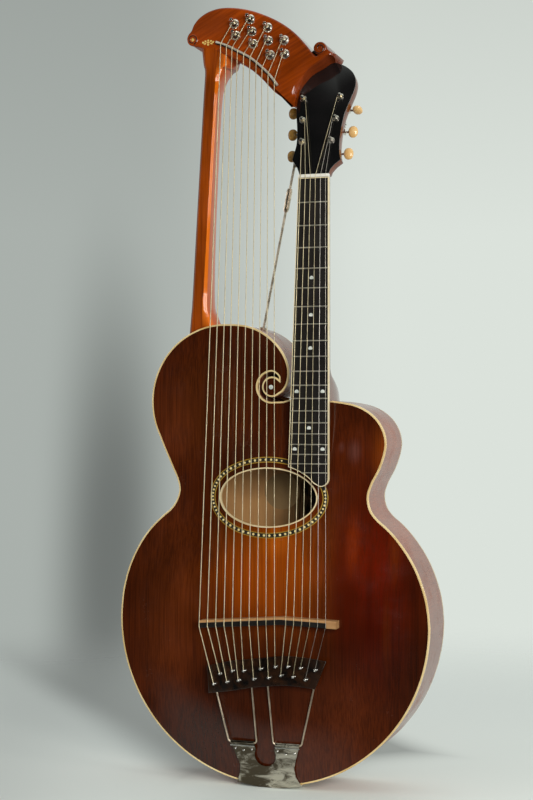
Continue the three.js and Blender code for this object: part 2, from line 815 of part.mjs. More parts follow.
function wheelOutline(post) {
  const tip = wheelPitchRadius + threadHeight;
  const root = wheelPitchRadius - threadHeight - toothClearance * 2;
  const pitch = 360 / wheelTeeth;
  const points = [];
  for (let tooth = 0; tooth < wheelTeeth; tooth++) {
    const middle = -90 + (tooth + 0.5) * pitch;
    for (const [radius, halfShare] of [[root, -0.3], [tip, -0.1], [tip, 0.1], [root, 0.3]]) {
      points.push(arcPoints(post.x, post.z, radius, middle + halfShare * pitch, middle, 1)[0]);
    }
  }
  return points;
}

function stringPosts() {
  for (const post of posts) {
    const collarFront = -seatGap - collarThickness;
    const profile = [
      [0, -postReach],
      [postRadius * 0.75, -postReach],
      [postRadius, -postReach * 0.88],
      [postRadius * 0.72, -postReach * 0.62],
      [postRadius * 0.72, -postReach * 0.4],
      [postRadius, collarFront],
      [collarRadius, collarFront],
      [collarRadius, -seatGap],
      [postRadius, -seatGap],
      [postRadius, wheelMiddle + wheelThickness],
      [0, wheelMiddle + wheelThickness],
    ];
    const stem = turned(profile, 10).translate(post.x, 0, post.z);
    const wheel = plate(
      wheelOutline(post),
      [],
      wheelMiddle - wheelThickness / 2,
      wheelMiddle + wheelThickness / 2,
    );
    place(`string_post_${post.side}_${post.number}`, join(stem, wheel), nickel, headstock);
  }
}

// The worm's thread: a ridge that winds round X, with its middle at the wheel's side of the shaft.
function wormThread(x, y, z) {
  const root = wormShaftRadius * 0.85;
  const tip = wormPitchRadius + threadHeight;
  const steps = 10 * threadTurns;
  const rings = Array.from({ length: steps + 1 }, (_, step) => {
    const turn = (step / steps - 0.5) * threadTurns;
    const angle = Math.PI / 2 + turn * 2 * Math.PI;
    const middle = x + turn * wormLead;
    return [[root, -0.24], [tip, -0.11], [tip, 0.11], [root, 0.24]].map(
      ([radius, share]) =>
        new Vector3(middle + share * wormLead, y + radius * Math.cos(angle), z + radius * Math.sin(angle)),
    );
  });
  return loft(rings, (point) => new Vector2(point.x, Math.hypot(point.y - y, point.z - z)));
}

function tunerButtons() {
  for (const post of posts) {
    const height = post.z - wheelDistance;
    const out = post.outward;
    const buttonX = post.x + out * buttonReach;
    const innerEnd = post.x - out * (earSpacing / 2 + earThickness);
    const [left, right] = [innerEnd, buttonX].sort((a, b) => a - b);
    const shaft = rodAlongX(wormShaftRadius, left, right, wheelMiddle, height, 10);
    const turn = post.side === "treble" && post.number === 3 ? radians(70) : radians(12);
    const button = new THREE.SphereGeometry(1, 12, 8)
      .scale(buttonLength / 2, buttonThickness / 2, buttonHeight / 2)
      .rotateX(turn)
      .translate(buttonX, wheelMiddle, height);
    const thread = wormThread(post.x, wheelMiddle, height);
    place(`tuner_button_${post.side}_${post.number}`, join(shaft, thread, button), amberButton, headstock);
  }
}

// Harp head: an arched plank with a curl at each end, whose flank hollows down to the headstock.
const harpHeadPoint = ([xShare, zShare]) =>
  new Vector2(harpHeadLeft + xShare * harpHeadWidth, harpHeadBottom + zShare * harpHeadLength);

const archShares = [
  [0.217, 0.609], [0.152, 0.624], [0.091, 0.655], [0.054, 0.669], [0.021, 0.693], [0.002, 0.73],
  [0.009, 0.773], [0.033, 0.811], [0.049, 0.86], [0.086, 0.919], [0.142, 0.966], [0.212, 0.994],
  [0.282, 1], [0.366, 0.988], [0.455, 0.96], [0.538, 0.919], [0.627, 0.863], [0.706, 0.798],
  [0.772, 0.727], [0.828, 0.649], [0.869, 0.584], [0.897, 0.534], [0.921, 0.503], [0.937, 0.512],
  [0.916, 0.531], [0.907, 0.568], [0.923, 0.609], [0.956, 0.627], [0.986, 0.606], [1, 0.562],
];
const flankShares = [
  [0.998, 0.519], [0.977, 0.472], [0.93, 0.422], [0.865, 0.388], [0.795, 0.32], [0.753, 0.258],
  [0.734, 0.196], [0.741, 0.121],
];
const underArchShares = [
  [0.767, 0.053], [0.73, 0.096], [0.688, 0.149], [0.636, 0.202], [0.599, 0.252], [0.543, 0.332],
  [0.469, 0.419], [0.366, 0.512], [0.291, 0.568],
];
const harpHeadOutline = [...archShares, ...flankShares, ...underArchShares].map(harpHeadPoint);

// Harp column: a leaning post with chamfered edges, a foot flared on the bass strings' side and a capital.
const columnTopShares = [0.191, 0.655];
const columnFoot = new Vector2(columnFootOffset, bodyTop - columnFootDrop);
const columnTop = harpHeadPoint(columnTopShares);

function columnSection([heightShare, leftShare, rightShare, frontShare, backShare]) {
  const { x: middle, y: z } = columnFoot.clone().lerp(columnTop, heightShare);
  const left = middle + leftShare * columnWidth;
  const right = middle + rightShare * columnWidth;
  const front = columnFront + frontShare * columnDepth;
  const back = columnFront + backShare * columnDepth;
  const chamfer = columnWidth * 0.2;
  return [
    new Vector3(left, front + chamfer, z),
    new Vector3(left + chamfer, front, z),
    new Vector3(middle + (columnWidth / 2 - chamfer), front, z),
    new Vector3((middle + columnWidth / 2 + right) / 2, front + chamfer, z),
    new Vector3(right, (front + back) / 2, z),
    new Vector3(right, back - chamfer, z),
    new Vector3(right - chamfer, back, z),
    new Vector3(left + chamfer, back, z),
    new Vector3(left, back - chamfer, z),
  ];
}

const columnStationShares = [
  [0, -0.6, 1.9, 0, 1.15],
  [0.07, -0.56, 1.35, 0, 1.1],
  [0.115, -0.53, 0.95, 0, 1.05],
  [0.17, -0.5, 0.68, 0, 1],
  [0.42, -0.5, 0.52, 0.02, 0.97],
  [0.82, -0.5, 0.5, 0.08, 0.97],
  [0.875, -0.5, 0.62, 0.1, 1.05],
  [0.92, -0.52, 0.92, 0.12, 1.3],
  [0.945, -0.66, 1.22, 0.13, 1.55],
  [1, -0.85, 1.3, 0.14, 1.62],
];

const pinShares = [
  [0.347, 0.842], [0.357, 0.736], [0.459, 0.873], [0.473, 0.761], [0.483, 0.649], [0.585, 0.786],
  [0.59, 0.668], [0.604, 0.537], [0.702, 0.661], [0.706, 0.537],
];
const harpPins = pinShares.map(harpHeadPoint);

function harpPinBody() {
  const profile = [
    [0, -pinReach],
    [pinTipRadius * 0.6, -pinReach],
    [pinTipRadius, -pinReach * 0.9],
    [pinTipRadius, -pinReach * 0.68],
    [pinWaistRadius, -pinReach * 0.6],
    [pinWaistRadius, -pinReach * 0.34],
    [pinRadius, -pinReach * 0.3],
    [pinRadius, pinSunkLength],
    [0, pinSunkLength],
  ];
  return turned(profile, 10);
}

function harpHeadAndColumn() {
  const steps = arcPoints(0, 0, 1, 0, 90, 3);
  const flankStart = archShares.length;
  const flankEnd = flankStart + flankShares.length;
  const ringAt = (depth, spread) =>
    harpHeadOutline.map((point, index) => {
      const onFlank = index >= flankStart && index <= flankEnd;
      return new Vector3(point.x + (onFlank ? spread : 0), harpHeadFront + depth, point.y);
    });
  const hollows = steps.map((step) => ringAt((1 - step.x) * flankDepth, step.y * flankReach));
  const head = loft([...hollows, ringAt(harpHeadDepth, flankReach)], seenFromFront);
  const headstockTool = plate(
    inset(headstockOutline, -seatGap),
    [],
    -harpHeadDepth,
    harpHeadDepth,
  ).applyMatrix4(headstockFrame);
  const machineTool = plate(
    inset(headstockOutline, -machineRelief),
    [],
    headstockThickness,
    harpHeadDepth,
  ).applyMatrix4(headstockFrame);
  const pinHoles = harpPins.map((pin) =>
    rodAlongY(pinRadius + seatGap, -cutOverrun, pinSunkLength + seatGap, 0, 0, 10)
      .rotateX(-radians(pinLean))
      .translate(pin.x, harpHeadFront, pin.y),
  );
  place("harp_head", cut(head, headstockTool, machineTool, ...pinHoles), amberVarnish);
  const headTool = plate(
    inset(harpHeadOutline, -seatGap),
    [],
    harpHeadFront - cutOverrun,
    harpHeadFront + harpHeadDepth + cutOverrun,
  );
  const column = loft(columnStationShares.map(columnSection), seenFromAbove);
  place("harp_column", cut(column, bodyTool, headTool), amberVarnish);
}

function harpPinSet() {
  harpPins.forEach((pin, index) => {
    const body = harpPinBody().rotateX(-radians(pinLean)).translate(pin.x, harpHeadFront, pin.y);
    place(`harp_pin_${index + 1}`, body, nickel);
  });
}

const harpNutShares = [
  [0.221, 0.686], [0.296, 0.649], [0.375, 0.593], [0.464, 0.525], [0.538, 0.444], [0.604, 0.357],
  [0.66, 0.258],
];
const harpNutFront = harpHeadFront - seatGap - harpNutRise;

function harpNut() {
  const middle = smoothRun(harpNutShares.map(harpHeadPoint), 12);
  const side = (half) =>
    middle.map((point, index) => {
      const before = middle[Math.max(index - 1, 0)];
      const after = middle[Math.min(index + 1, middle.length - 1)];
      const along = after.clone().sub(before);
      return point.clone().add(new Vector2(-along.y, along.x).setLength(half));
    });
  const outline = [...side(harpNutWidth / 2), ...side(-harpNutWidth / 2).reverse()];
  place("harp_nut", plate(outline, [], harpNutFront, harpHeadFront - seatGap), bone);
}

// Bridge: a light wooden base that stands on the carved top, with an ebony strip along its lower side.
const bridgeShares = [[0, -0.26], [0.597, 0.64], [0.824, 0.5], [1, 0.38]];
const saddleEndShares = [0.927, 0.43];
const bridgePoint = ([xShare, riseShare], drop) =>
  new Vector2(
    bridgeOffset + (xShare - 0.5) * bridgeWidth,
    bridgeHeight + (riseShare - 0.5) * bridgeThickness - drop,
  );

function bridge() {
  const line = bridgeShares.map((point) => bridgePoint(point, -bridgeThickness / 2));
  const lower = bridgeShares.map((point) => bridgePoint(point, bridgeThickness / 2));
  const saddleEnd = bridgePoint(saddleEndShares, 0);
  const seat = saddleFront + saddleHeight;
  const body = plate([...line, ...[...lower].reverse()], [], seat, frontEdge);
  const ridgeBottom = bridgeShares.map((point) => bridgePoint(point, bridgeThickness / 2 - saddleThickness));
  const ridge = plate([...line, ...[...ridgeBottom].reverse()], [], saddleFront + seatGap, seat + seatGap);
  place("bridge_base", cut(join(body, ridge), bodyTool), paleWood);
  const strip = (drop) => bridgeShares.slice(0, 3).map((point) => bridgePoint(point, drop));
  const outline = [
    ...strip(bridgeThickness / 2 - saddleThickness + seatGap),
    new Vector2(saddleEnd.x, saddleEnd.y - bridgeThickness / 2 + saddleThickness - seatGap),
    new Vector2(saddleEnd.x, saddleEnd.y - bridgeThickness / 2),
    ...strip(bridgeThickness / 2).reverse(),
  ];
  place("bridge_saddle", plate(outline, [], saddleFront, seat - seatGap), ebony);
}

// The height at which a string crosses the middle of the saddle.
function saddleHeightAt(x) {
  const line = bridgeShares.map((point) => bridgePoint(point, (bridgeThickness - saddleThickness) / 2));
  const index = line.findIndex((point) => point.x > x);
  const [before, after] = [line[index - 1], line[index]];
  return THREE.MathUtils.mapLinear(x, before.x, after.x, before.y, after.y);
}

// Tailpiece: a nickel bracket folded under the body, a wire frame hinged in its knuckles, and the
// celluloid crosspiece with sixteen hitch pins.
const hingeDepth = topSurface(hingeOffset + wingInner, hingeHeight) - seatGap - knuckleRadius;
const wireSlope = tailRise / (tailBendHeight - hingeHeight);

function tailDepth(z) {
  const belowBend = Math.min(z, tailBendHeight) - hingeHeight;
  const aboveBend = Math.max(z - tailBendHeight, 0);
  return hingeDepth - belowBend * wireSlope - aboveBend * crosspieceSlope;
}

function tailpieceBracket() {
  const bottomAt = (x) =>
    lowerBoutMiddle - (lowerBoutHeight / 2) * Math.sqrt(1 - ((2 * x) / lowerBoutWidth) ** 2);
  const flatHalf = footHalfWidth / 3;
  const corners = [-3, -2, -1, 1, 2, 3].map((place) => place * flatHalf);
  const heightAt = (x) => (Math.abs(x) > flatHalf * 1.5 ? bottomAt(x) - seatGap : bracketThickness);
  const seat = corners.map((x) => new Vector2(x, heightAt(x)));
  const underside = corners.map((x) => new Vector2(x, heightAt(x) - bracketThickness));
  const faceFront = frontEdge - seatGap - bracketThickness;
  const foot = plate([...underside, ...[...seat].reverse()], [], faceFront, frontEdge + footReach);
  const middle = hingeHeight * 0.4;
  const side = (turn) => [
    new Vector2(hingeOffset / 2 + turn * (bracketWaist + bracketThickness), middle * 0.7),
    new Vector2(hingeOffset / 2 + turn * bracketWaist, middle * 1.2),
    new Vector2(hingeOffset + turn * wingOuter, hingeHeight),
    new Vector2(hingeOffset + turn * wingInner, hingeHeight),
  ];
  const cutMiddle = hingeHeight - bracketCutRadius;
  const cutOut = arcPoints(hingeOffset, cutMiddle, bracketCutRadius * 0.95, 30, -210, 10);
  const slope = (hingeDepth - faceFront - bracketThickness) / (hingeHeight - bodyBottom);
  const frontAt = (z) => faceFront + (z - bodyBottom) * slope;
  const face = sheared(
    [...underside, ...side(1), ...cutOut, ...side(-1).reverse()],
    frontAt,
    (z) => frontAt(z) + bracketThickness,
  );
  const knuckles = [-1, 1].map((turn) => {
    const ends = [hingeOffset + turn * wingInner, hingeOffset + turn * wingOuter].sort((a, b) => a - b);
    return rodAlongX(knuckleRadius, ...ends, hingeDepth, hingeHeight, 12);
  });
  const bores = rodAlongX(
    hingeWireRadius + runningGap,
    hingeOffset - wingOuter - cutOverrun,
    hingeOffset + wingOuter + cutOverrun,
    hingeDepth,
    hingeHeight,
    12,
  );
  place("tailpiece_bracket", cut(join(foot, face, ...knuckles), bores), nickel);
}

const tailPoint = ([xShare, zShare]) =>
  new Vector2((xShare * tailPlateWidth) / 2, tailPlateMiddle + zShare * tailPlateHeight);
const crosspieceShares = [
  [-0.96, 0.095], [-0.746, 0.214], [-0.395, 0.357], [-0.056, 0.452], [0.294, 0.548], [0.633, 0.548],
  [1.04, 0.452], [0.847, -0.5], [0.633, -0.452], [0.373, -0.429], [0.124, -0.476], [-0.226, -0.571],
  [-0.565, -0.714], [-0.938, -0.833],
];
const hitchPinShares = [
  [-0.836, -0.5], [-0.734, -0.143], [-0.61, -0.405], [-0.52, -0.024], [-0.418, -0.333], [-0.328, 0],
  [-0.158, -0.262], [-0.045, 0.095], [0.09, -0.19], [0.203, 0.19], [0.294, -0.095], [0.407, 0.214],
  [0.497, -0.119], [0.621, 0.19], [0.7, -0.19], [0.859, 0.143],
];
const hitchPins = hitchPinShares.map(tailPoint);
const crosspieceBack = (z) => tailDepth(z) - hingeWireRadius - 2 * seatGap;
const crosspieceFront = (z) => crosspieceBack(z) - tailPlateThickness;

const legTopShares = [[-0.873, -0.3], [-0.232, -0.2], [0.036, -0.12], [0.87, 0]];

function tailpieceFrame() {
  const tops = legTopShares.map(tailPoint);
  const at = (x, z) => new Vector3(x, tailDepth(z), z);
  const bend = hingeWireRadius * 2;
  const outer = wingOuter + bend + hingeWireRadius;
  const inner = wingInner - bend - hingeWireRadius;
  const bow = (turn, outerTop, innerTop) =>
    tube(
      [
        at(outerTop.x, outerTop.y),
        at(hingeOffset + turn * outer, hingeHeight + bend),
        at(hingeOffset + turn * (outer - bend), hingeHeight),
        at(hingeOffset + turn * (inner + bend), hingeHeight),
        at(hingeOffset + turn * inner, hingeHeight + bend),
        at(innerTop.x, innerTop.y),
      ],
      hingeWireRadius,
    );
  const crossBar = tube(tops.map((top) => at(top.x, top.y)), hingeWireRadius);
  place("tailpiece_frame", join(bow(-1, tops[0], tops[1]), bow(1, tops[3], tops[2]), crossBar), nickel);
}

function tailpieceCrosspiece() {
  const outline = crosspieceShares.map(tailPoint);
  const body = sheared(outline, crosspieceFront, crosspieceBack);
  const pins = hitchPins.map((pin) =>
    rodAlongY(
      hitchPinRadius,
      crosspieceFront(pin.y) - hitchPinRise,
      crosspieceFront(pin.y) + tailPlateThickness / 2,
      pin.x,
      pin.y,
      8,
    ),
  );
  place("tailpiece_crosspiece", join(body, ...pins), tortoise);
}

// Strings: each runs from its hitch pin over the saddle and its nut to its pin or post.
function endShort(from, to, distance) {
  return to.clone().addScaledVector(from.clone().sub(to).normalize(), distance);
}

function stringRoute(index, across, radius, nutPoint, target, targetGap) {
  const hitch = hitchPins[index];
  const hitchPoint = new Vector3(hitch.x, crosspieceFront(hitch.y) - hitchPinRise / 2, hitch.y);
  const saddlePoint = new Vector3(across, saddleFront - seatGap - radius, saddleHeightAt(across));
  return [
    endShort(saddlePoint, hitchPoint, hitchPinRadius + seatGap),
    saddlePoint,
    nutPoint,
    endShort(nutPoint, target, targetGap),
  ];
}

const harpNutPlaceShares = [
  [0.26, 0.667], [0.301, 0.645], [0.341, 0.618], [0.379, 0.592], [0.424, 0.556], [0.469, 0.52],
  [0.513, 0.47], [0.555, 0.421], [0.598, 0.363], [0.642, 0.296],
];

function harpStrings() {
  const places = harpNutPlaceShares.map(harpHeadPoint);
  places.forEach((spot, index) => {
    const share = index / (places.length - 1);
    const radius = THREE.MathUtils.lerp(heaviestHarpRadius, lightestHarpRadius, share);
    const nutPoint = new Vector3(spot.x, harpNutFront - seatGap - radius, spot.y);
    const lean = Math.tan(radians(pinLean));
    const pin = harpPins[index];
    const target = new Vector3(pin.x, harpHeadFront - harpPinStringRise, pin.y + harpPinStringRise * lean);
    const across = firstHarpOffset + index * harpSpacing;
    const route = stringRoute(index, across, radius, nutPoint, target, pinRadius + seatGap);
    place(`harp_string_${index + 1}`, tube(route, radius), bronze);
  });
}

function neckStrings() {
  const onSide = (side) => posts.filter((post) => post.side === side);
  const order = [...onSide("bass"), ...onSide("treble").reverse()];
  order.forEach((post, index) => {
    const share = index / (order.length - 1);
    const radius = THREE.MathUtils.lerp(heaviestNeckRadius, lightestNeckRadius, share);
    const nutFront = boardTop(nutHeight) - nutRise;
    const nutX = neckOffset + (index - 2.5) * nutSpacing;
    const nutPoint = new Vector3(nutX, nutFront - seatGap - radius, nutHeight + nutDepth / 2);
    const passesPosts = post.number > 1;
    const side = passesPosts ? postRadius + seatGap + radius : 0;
    const gap = passesPosts ? 0 : postRadius + seatGap;
    const onPost = new Vector3(post.x - post.outward * side, -postReach / 2, post.z);
    const target = onPost.applyMatrix4(headstockFrame);
    const across = firstNeckOffset + index * neckSpacing;
    const route = stringRoute(index + harpPins.length, across, radius, nutPoint, target, gap);
    place(`neck_string_${order.length - index}`, tube(route, radius), bronze);
  });
}

// Brace rod: two lengths joined by a turnbuckle, from the rim to the back of the headstock.
function braceRod() {
  const foot = new Vector3(rodFootOffset, rodFootDepth, bodyTop - rodFootDrop);
  const tabMiddle = new Vector3(rodTopSide, headstockThickness + seatGap + rodTabThickness / 2, rodTopHeight);
  const top = tabMiddle.clone().applyMatrix4(headstockFrame);
  const along = top.clone().sub(foot);
  const length = along.length();
  const direction = along.clone().normalize();
  const at = (distance) => foot.clone().addScaledVector(direction, distance);
  const middle = length * turnbuckleShare;
  const sleeveStart = middle - turnbuckleLength / 2;
  const sleeveEnd = middle + turnbuckleLength / 2;
  const sink = foot.clone().addScaledVector(direction, -cutOverrun);
  const flange = tube([sink, at(rodFlangeThickness)], rodFlangeRadius, 12);
  const lower = tube([sink, at(sleeveStart + threadEngagement)], rodRadius, 10);
  place("brace_rod_lower", cut(join(flange, lower), bodyTool), darkSteel);
  const upper = tube([at(sleeveEnd - threadEngagement), top], rodRadius, 10);
  const tab = block(
    rodTopSide - rodRadius,
    rodTopSide + rodTabWidth,
    headstockThickness + seatGap,
    headstockThickness + seatGap + rodTabThickness,
    rodTopHeight - rodTabHeight / 2,
    rodTopHeight + rodTabHeight / 2,
  ).applyMatrix4(headstockFrame);
  const headTool = plate(
    inset(headstockOutline, -seatGap),
    [],
    0,
    headstockThickness + seatGap,
  ).applyMatrix4(headstockFrame);
  place("brace_rod_upper", cut(join(upper, tab), headTool), darkSteel);
  const bore = rodRadius + seatGap;
  const half = turnbuckleLength / 2;
  const profile = [
    [bore, -half],
    [turnbuckleNeckRadius, -half],
    [turnbuckleRadius, -half * 0.7],
    [turnbuckleRadius, half * 0.7],
    [turnbuckleNeckRadius, half],
    [bore, half],
    [bore, -half],
  ];
  const sleeve = turned(profile, 12).applyQuaternion(
    new THREE.Quaternion().setFromUnitVectors(new Vector3(0, 1, 0), direction),
  );
  const centre = at(middle);
  place("turnbuckle", sleeve.translate(centre.x, centre.y, centre.z), darkSteel);
}

bodyPlates();
rim();
bindings();
fretboard();
nut();
neck();
tunerPlates();
stringPosts();
tunerButtons();
harpHeadAndColumn();
harpPinSet();
harpNut();
bridge();
tailpieceBracket();
tailpieceFrame();
tailpieceCrosspiece();
harpStrings();
neckStrings();
braceRod();

export default harpGuitar;
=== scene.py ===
import math
import bmesh
import bpy
import numpy as np
from mathutils import Matrix, Quaternion, Vector
from mathutils.geometry import delaunay_2d_cdt


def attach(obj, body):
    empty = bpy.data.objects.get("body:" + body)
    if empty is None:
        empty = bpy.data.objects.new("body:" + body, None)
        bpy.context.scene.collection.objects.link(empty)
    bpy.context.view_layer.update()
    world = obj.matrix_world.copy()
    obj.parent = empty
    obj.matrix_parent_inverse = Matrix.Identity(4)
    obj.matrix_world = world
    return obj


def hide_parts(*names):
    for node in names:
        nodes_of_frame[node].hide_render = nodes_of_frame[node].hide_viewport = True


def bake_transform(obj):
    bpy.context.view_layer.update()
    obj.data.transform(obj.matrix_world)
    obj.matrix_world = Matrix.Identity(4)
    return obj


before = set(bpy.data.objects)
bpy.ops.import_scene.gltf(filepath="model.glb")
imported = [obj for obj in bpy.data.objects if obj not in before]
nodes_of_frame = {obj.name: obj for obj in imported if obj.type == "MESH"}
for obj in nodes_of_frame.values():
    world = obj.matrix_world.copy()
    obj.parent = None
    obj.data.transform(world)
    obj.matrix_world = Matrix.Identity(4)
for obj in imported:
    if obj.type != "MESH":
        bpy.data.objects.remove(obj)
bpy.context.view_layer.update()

# Sizes are written in millimetres, as on the maker's drawing, and the meshes are made in metres.
mm = 0.001


# The room: a pale floor that fades into a pale wall, and one broad lamp from the treble side.
# The lamp stands high on the right, so the shadow falls to the left behind the lower bout.
scene = bpy.context.scene
scene.view_settings.view_transform = "Standard"

camera_data = bpy.data.cameras.new("photo_camera")
camera_data.sensor_fit = "VERTICAL"
camera_data.sensor_height = 36
camera_data.sensor_width = 36
camera_data.lens = 71.13
camera_data.clip_start = 0.05
camera = bpy.data.objects.new("photo_camera", camera_data)
camera.matrix_world = Matrix((
    (0.95147, 0.00031, 0.30773, 0.6897),
    (0.30769, -0.01679, -0.95134, -2.2061),
    (0.00487, 0.99986, -0.01607, 0.5161),
    (0, 0, 0, 1),
))
scene.collection.objects.link(camera)
scene.camera = camera


def lamp(name, place, target, width, height, power, colour):
    """A broad flat lamp that stands at a place and faces a target."""
    light = bpy.data.lights.new(name, "AREA")
    light.shape = "RECTANGLE"
    light.size = width
    light.size_y = height
    light.energy = power
    light.color = colour
    holder = bpy.data.objects.new(name, light)
    holder.location = place
    holder.rotation_mode = "QUATERNION"
    holder.rotation_quaternion = (Vector(target) - Vector(place)).to_track_quat("-Z", "Y")
    scene.collection.objects.link(holder)


lamp("window_light", (1.75, -2.3, 1.0), (0, 0, 0.5), 1.2, 1.3, 56, (1, 0.98, 0.95))
lamp("window_edge", (2.1, -0.75, 0.9), (0, 0, 0.75), 0.35, 1.3, 7, (1, 0.97, 0.93))
lamp("ceiling_wash", (0.3, 0.6, 2.4), (0.1, 0.6, 0), 1.5, 1.5, 4, (1, 1, 0.99))
lamp("side_fill", (-2.6, -1.1, 1.2), (0, 0, 0.6), 1.2, 1.6, 8, (0.96, 0.98, 1))
lamp("back_fill", (-1.6, 2.4, 0.9), (0, 0, 0.6), 1.6, 1.2, 9, (1, 1, 1))


def feed(socket, value):
    """Sets an input to a value, or links it to the socket, or to the node, that gives the value."""
    if isinstance(value, bpy.types.Node):
        value = next(result for result in value.outputs if result.enabled)
    if isinstance(value, bpy.types.NodeSocket):
        socket.id_data.links.new(value, socket)
    else:
        socket.default_value = (*value, 1) if socket.type == "RGBA" else value


def dress(inputs, **looks):
    """Feeds several inputs by their names."""
    for name, value in looks.items():
        feed(inputs[name.replace("_", " ")], value)


def node(tree, kind, *feeds, **values):
    """A shader node with its settings, and with what feeds its inputs in order or by name."""
    made = tree.nodes.new("ShaderNode" + kind)
    for key in [key for key in values if hasattr(made, key)]:
        setattr(made, key, values.pop(key))
    for socket, value in zip(made.inputs, feeds):
        feed(socket, value)
    dress(made.inputs, **values)
    return made


def ramp(tree, value, start, stop, first=0, last=1, ease="LINEAR"):
    """Goes from the first result to the last while the value goes from start to stop."""
    return node(tree, "MapRange", value, start, stop, first, last, interpolation_type=ease)


def fade(tree, value, start, stop, first=0, last=1):
    """A ramp that starts and ends softly, as the edge of a shadow does."""
    return ramp(tree, value, start, stop, first, last, "SMOOTHERSTEP")


def mixed(tree, share, under, over, blend="MIX"):
    """One colour laid over another by a share, or multiplied into it."""
    return node(tree, "Mix", data_type="RGBA", blend_type=blend, Factor=share, A=under, B=over)


def either(tree, one, other):
    """The larger of two masks."""
    return node(tree, "Math", one, other, operation="MAXIMUM")


def shader_of(finish):
    """The tree of a finish and the inputs of its shader."""
    return finish.node_tree, finish.node_tree.nodes["Principled BSDF"].inputs


def new_finish(name):
    """A plain finish to be dressed: itself, its tree, its shader's inputs and the place of each point."""
    made = bpy.data.materials.new(name)
    made.use_nodes = True
    return made, *shader_of(made), node(made.node_tree, "TexCoord").outputs["Object"]


# The wall is pale on the treble side and painted grey on the bass side, a painted shade, with the
# painted soft shadow of the guitar on it and painted shade towards the top. The varnish mirrors it
# bright from behind and overhead, and dark from the viewer's side.
world = bpy.data.worlds.new("pale_room")
scene.world = world
world.use_nodes = True
room = world.node_tree
room.nodes.clear()
direction = node(room, "TexCoord").outputs["Generated"]
heading = node(room, "SeparateXYZ", direction).outputs
painted_side_shade = fade(room, heading["X"], -0.39, -0.22)
wall_colour = mixed(room, painted_side_shade, (0.4, 0.435, 0.41), (0.71, 0.76, 0.71))
# The guitar's painted shadow on the wall, and painted shade towards the wall's top.
from_shadow = node(room, "VectorMath", direction, (-0.398, 0.9, -0.078), operation="SUBTRACT")
shadow_shape = node(room, "VectorMath", from_shadow, (20, 0.3, 3.8), operation="MULTIPLY")
wall_shadow = fade(room, node(room, "VectorMath", shadow_shape, operation="LENGTH"), 0, 1, 0.4)
wall_with_painted_shadow = mixed(room, 1, wall_colour, wall_shadow, "MULTIPLY")
wall_painted_dim_above = mixed(room, 1, wall_with_painted_shadow, ramp(room, heading["Z"], 0.12, 0.28, 1, 0.84), "MULTIPLY")
rays = node(room, "LightPath").outputs
behind, overhead = fade(room, heading["Y"], -0.35, 0.3, 0.03), fade(room, heading["Z"], 0.62, 0.9, 0, 1.2)
lit_parts = either(room, behind, overhead)
wall = node(room, "Background", wall_painted_dim_above, either(room, lit_parts, rays["Is Camera Ray"]))
sky = node(room, "Background", (0.93, 0.97, 1), 0.4)
mirrored = either(room, rays["Is Camera Ray"], rays["Is Glossy Ray"])
wall_shown = either(room, mirrored, rays["Is Transmission Ray"])
node(room, "OutputWorld", node(room, "MixShader", wall_shown, sky, wall))

# The floor has the wall's tone, with the guitar's painted shadow and painted shade towards the left,
# and clears away far out so that no edge shows. What the varnish mirrors of its front part is
# painted dark, a painted reflection; the camera sees it pale.
floor_reach, floor_corners, floor_drop = 5, 64, 0.0005
corner_angles = np.linspace(0, 2 * math.pi, floor_corners + 1)[:-1]
floor_mesh = bpy.data.meshes.new("floor")
floor_mesh.from_pydata(
    [(math.cos(a) * floor_reach, math.sin(a) * floor_reach, -floor_drop) for a in corner_angles],
    [],
    [tuple(range(floor_corners))],
)
floor = bpy.data.objects.new("floor", floor_mesh)
scene.collection.objects.link(floor)
floor_paint, paint, floor_shader, floor_spot = new_finish("pale_floor")


def floor_towards(x, y):
    """How far a spot of the floor lies in a direction, in metres."""
    return node(paint, "VectorMath", floor_spot, (x, y, 0), operation="DOT_PRODUCT")


# The guitar's painted shadow on the floor, and painted shade towards the left.
across_shadow = floor_towards(0.761, 0.648)
shadow_start = fade(paint, across_shadow, -0.18, -0.04, 1, 0.5)
shadow_sides = either(paint, shadow_start, fade(paint, across_shadow, 0.18, 0.36))
outside_shadow = either(paint, shadow_sides, fade(paint, floor_towards(-0.648, 0.761), 0, 0.24, 1, 0))
painted_left_shade = fade(paint, floor_towards(0.951, 0.308), -0.52, -0.12, 0.7)
floor_light = node(paint, "Math", outside_shadow, painted_left_shade, operation="MULTIPLY")
floor_tone = mixed(paint, floor_light, (0, 0, 0), (0.93, 0.99, 0.92))
front_fade = fade(paint, floor_towards(-0.308, 0.951), -0.3, -0.06)
floor_seen = either(paint, front_fade, node(paint, "LightPath").outputs["Is Camera Ray"])
dress(floor_shader, Base_Color=mixed(paint, floor_seen, (0.02, 0.02, 0.02), floor_tone), Roughness=0.85)
far_out = fade(paint, node(paint, "VectorMath", floor_spot, operation="LENGTH"), 0.4, 2)
floor_body, clear = paint.nodes["Principled BSDF"], node(paint, "BsdfTransparent")
floor_mix = node(paint, "MixShader", far_out, floor_body, clear)
feed(paint.nodes["Material Output"].inputs["Surface"], floor_mix)
floor_mesh.materials.append(floor_paint)


# Top and back plates: spruce top and maple back, carved from thick wedges to a broad arch.
# The varnish is a dark red-brown sunburst, brushed thin and amber over the middle of the top.
bout_half = 231.5
bout_height = 233.5
bout_middle = 235.5
upper_reach = 427.5
scroll_height = 571.5
scroll_radius = 14.8
scroll_slit = 6.8
front_edge = -50
back_edge = 50
plate_thickness = 4.5
top_crown = 17
back_crown = 14
carve_reach = 125
flat_border = 8
binding_width = 2.4
hollow_rise = 1.4


def arc(x, z, radius, start, stop, steps):
    """Points of a circle in the plane of the top, from one angle to another in degrees."""
    turns = [math.radians(start + (stop - start) * i / steps) for i in range(steps + 1)]
    return [(x + radius * math.cos(t), z + radius * math.sin(t)) for t in turns]


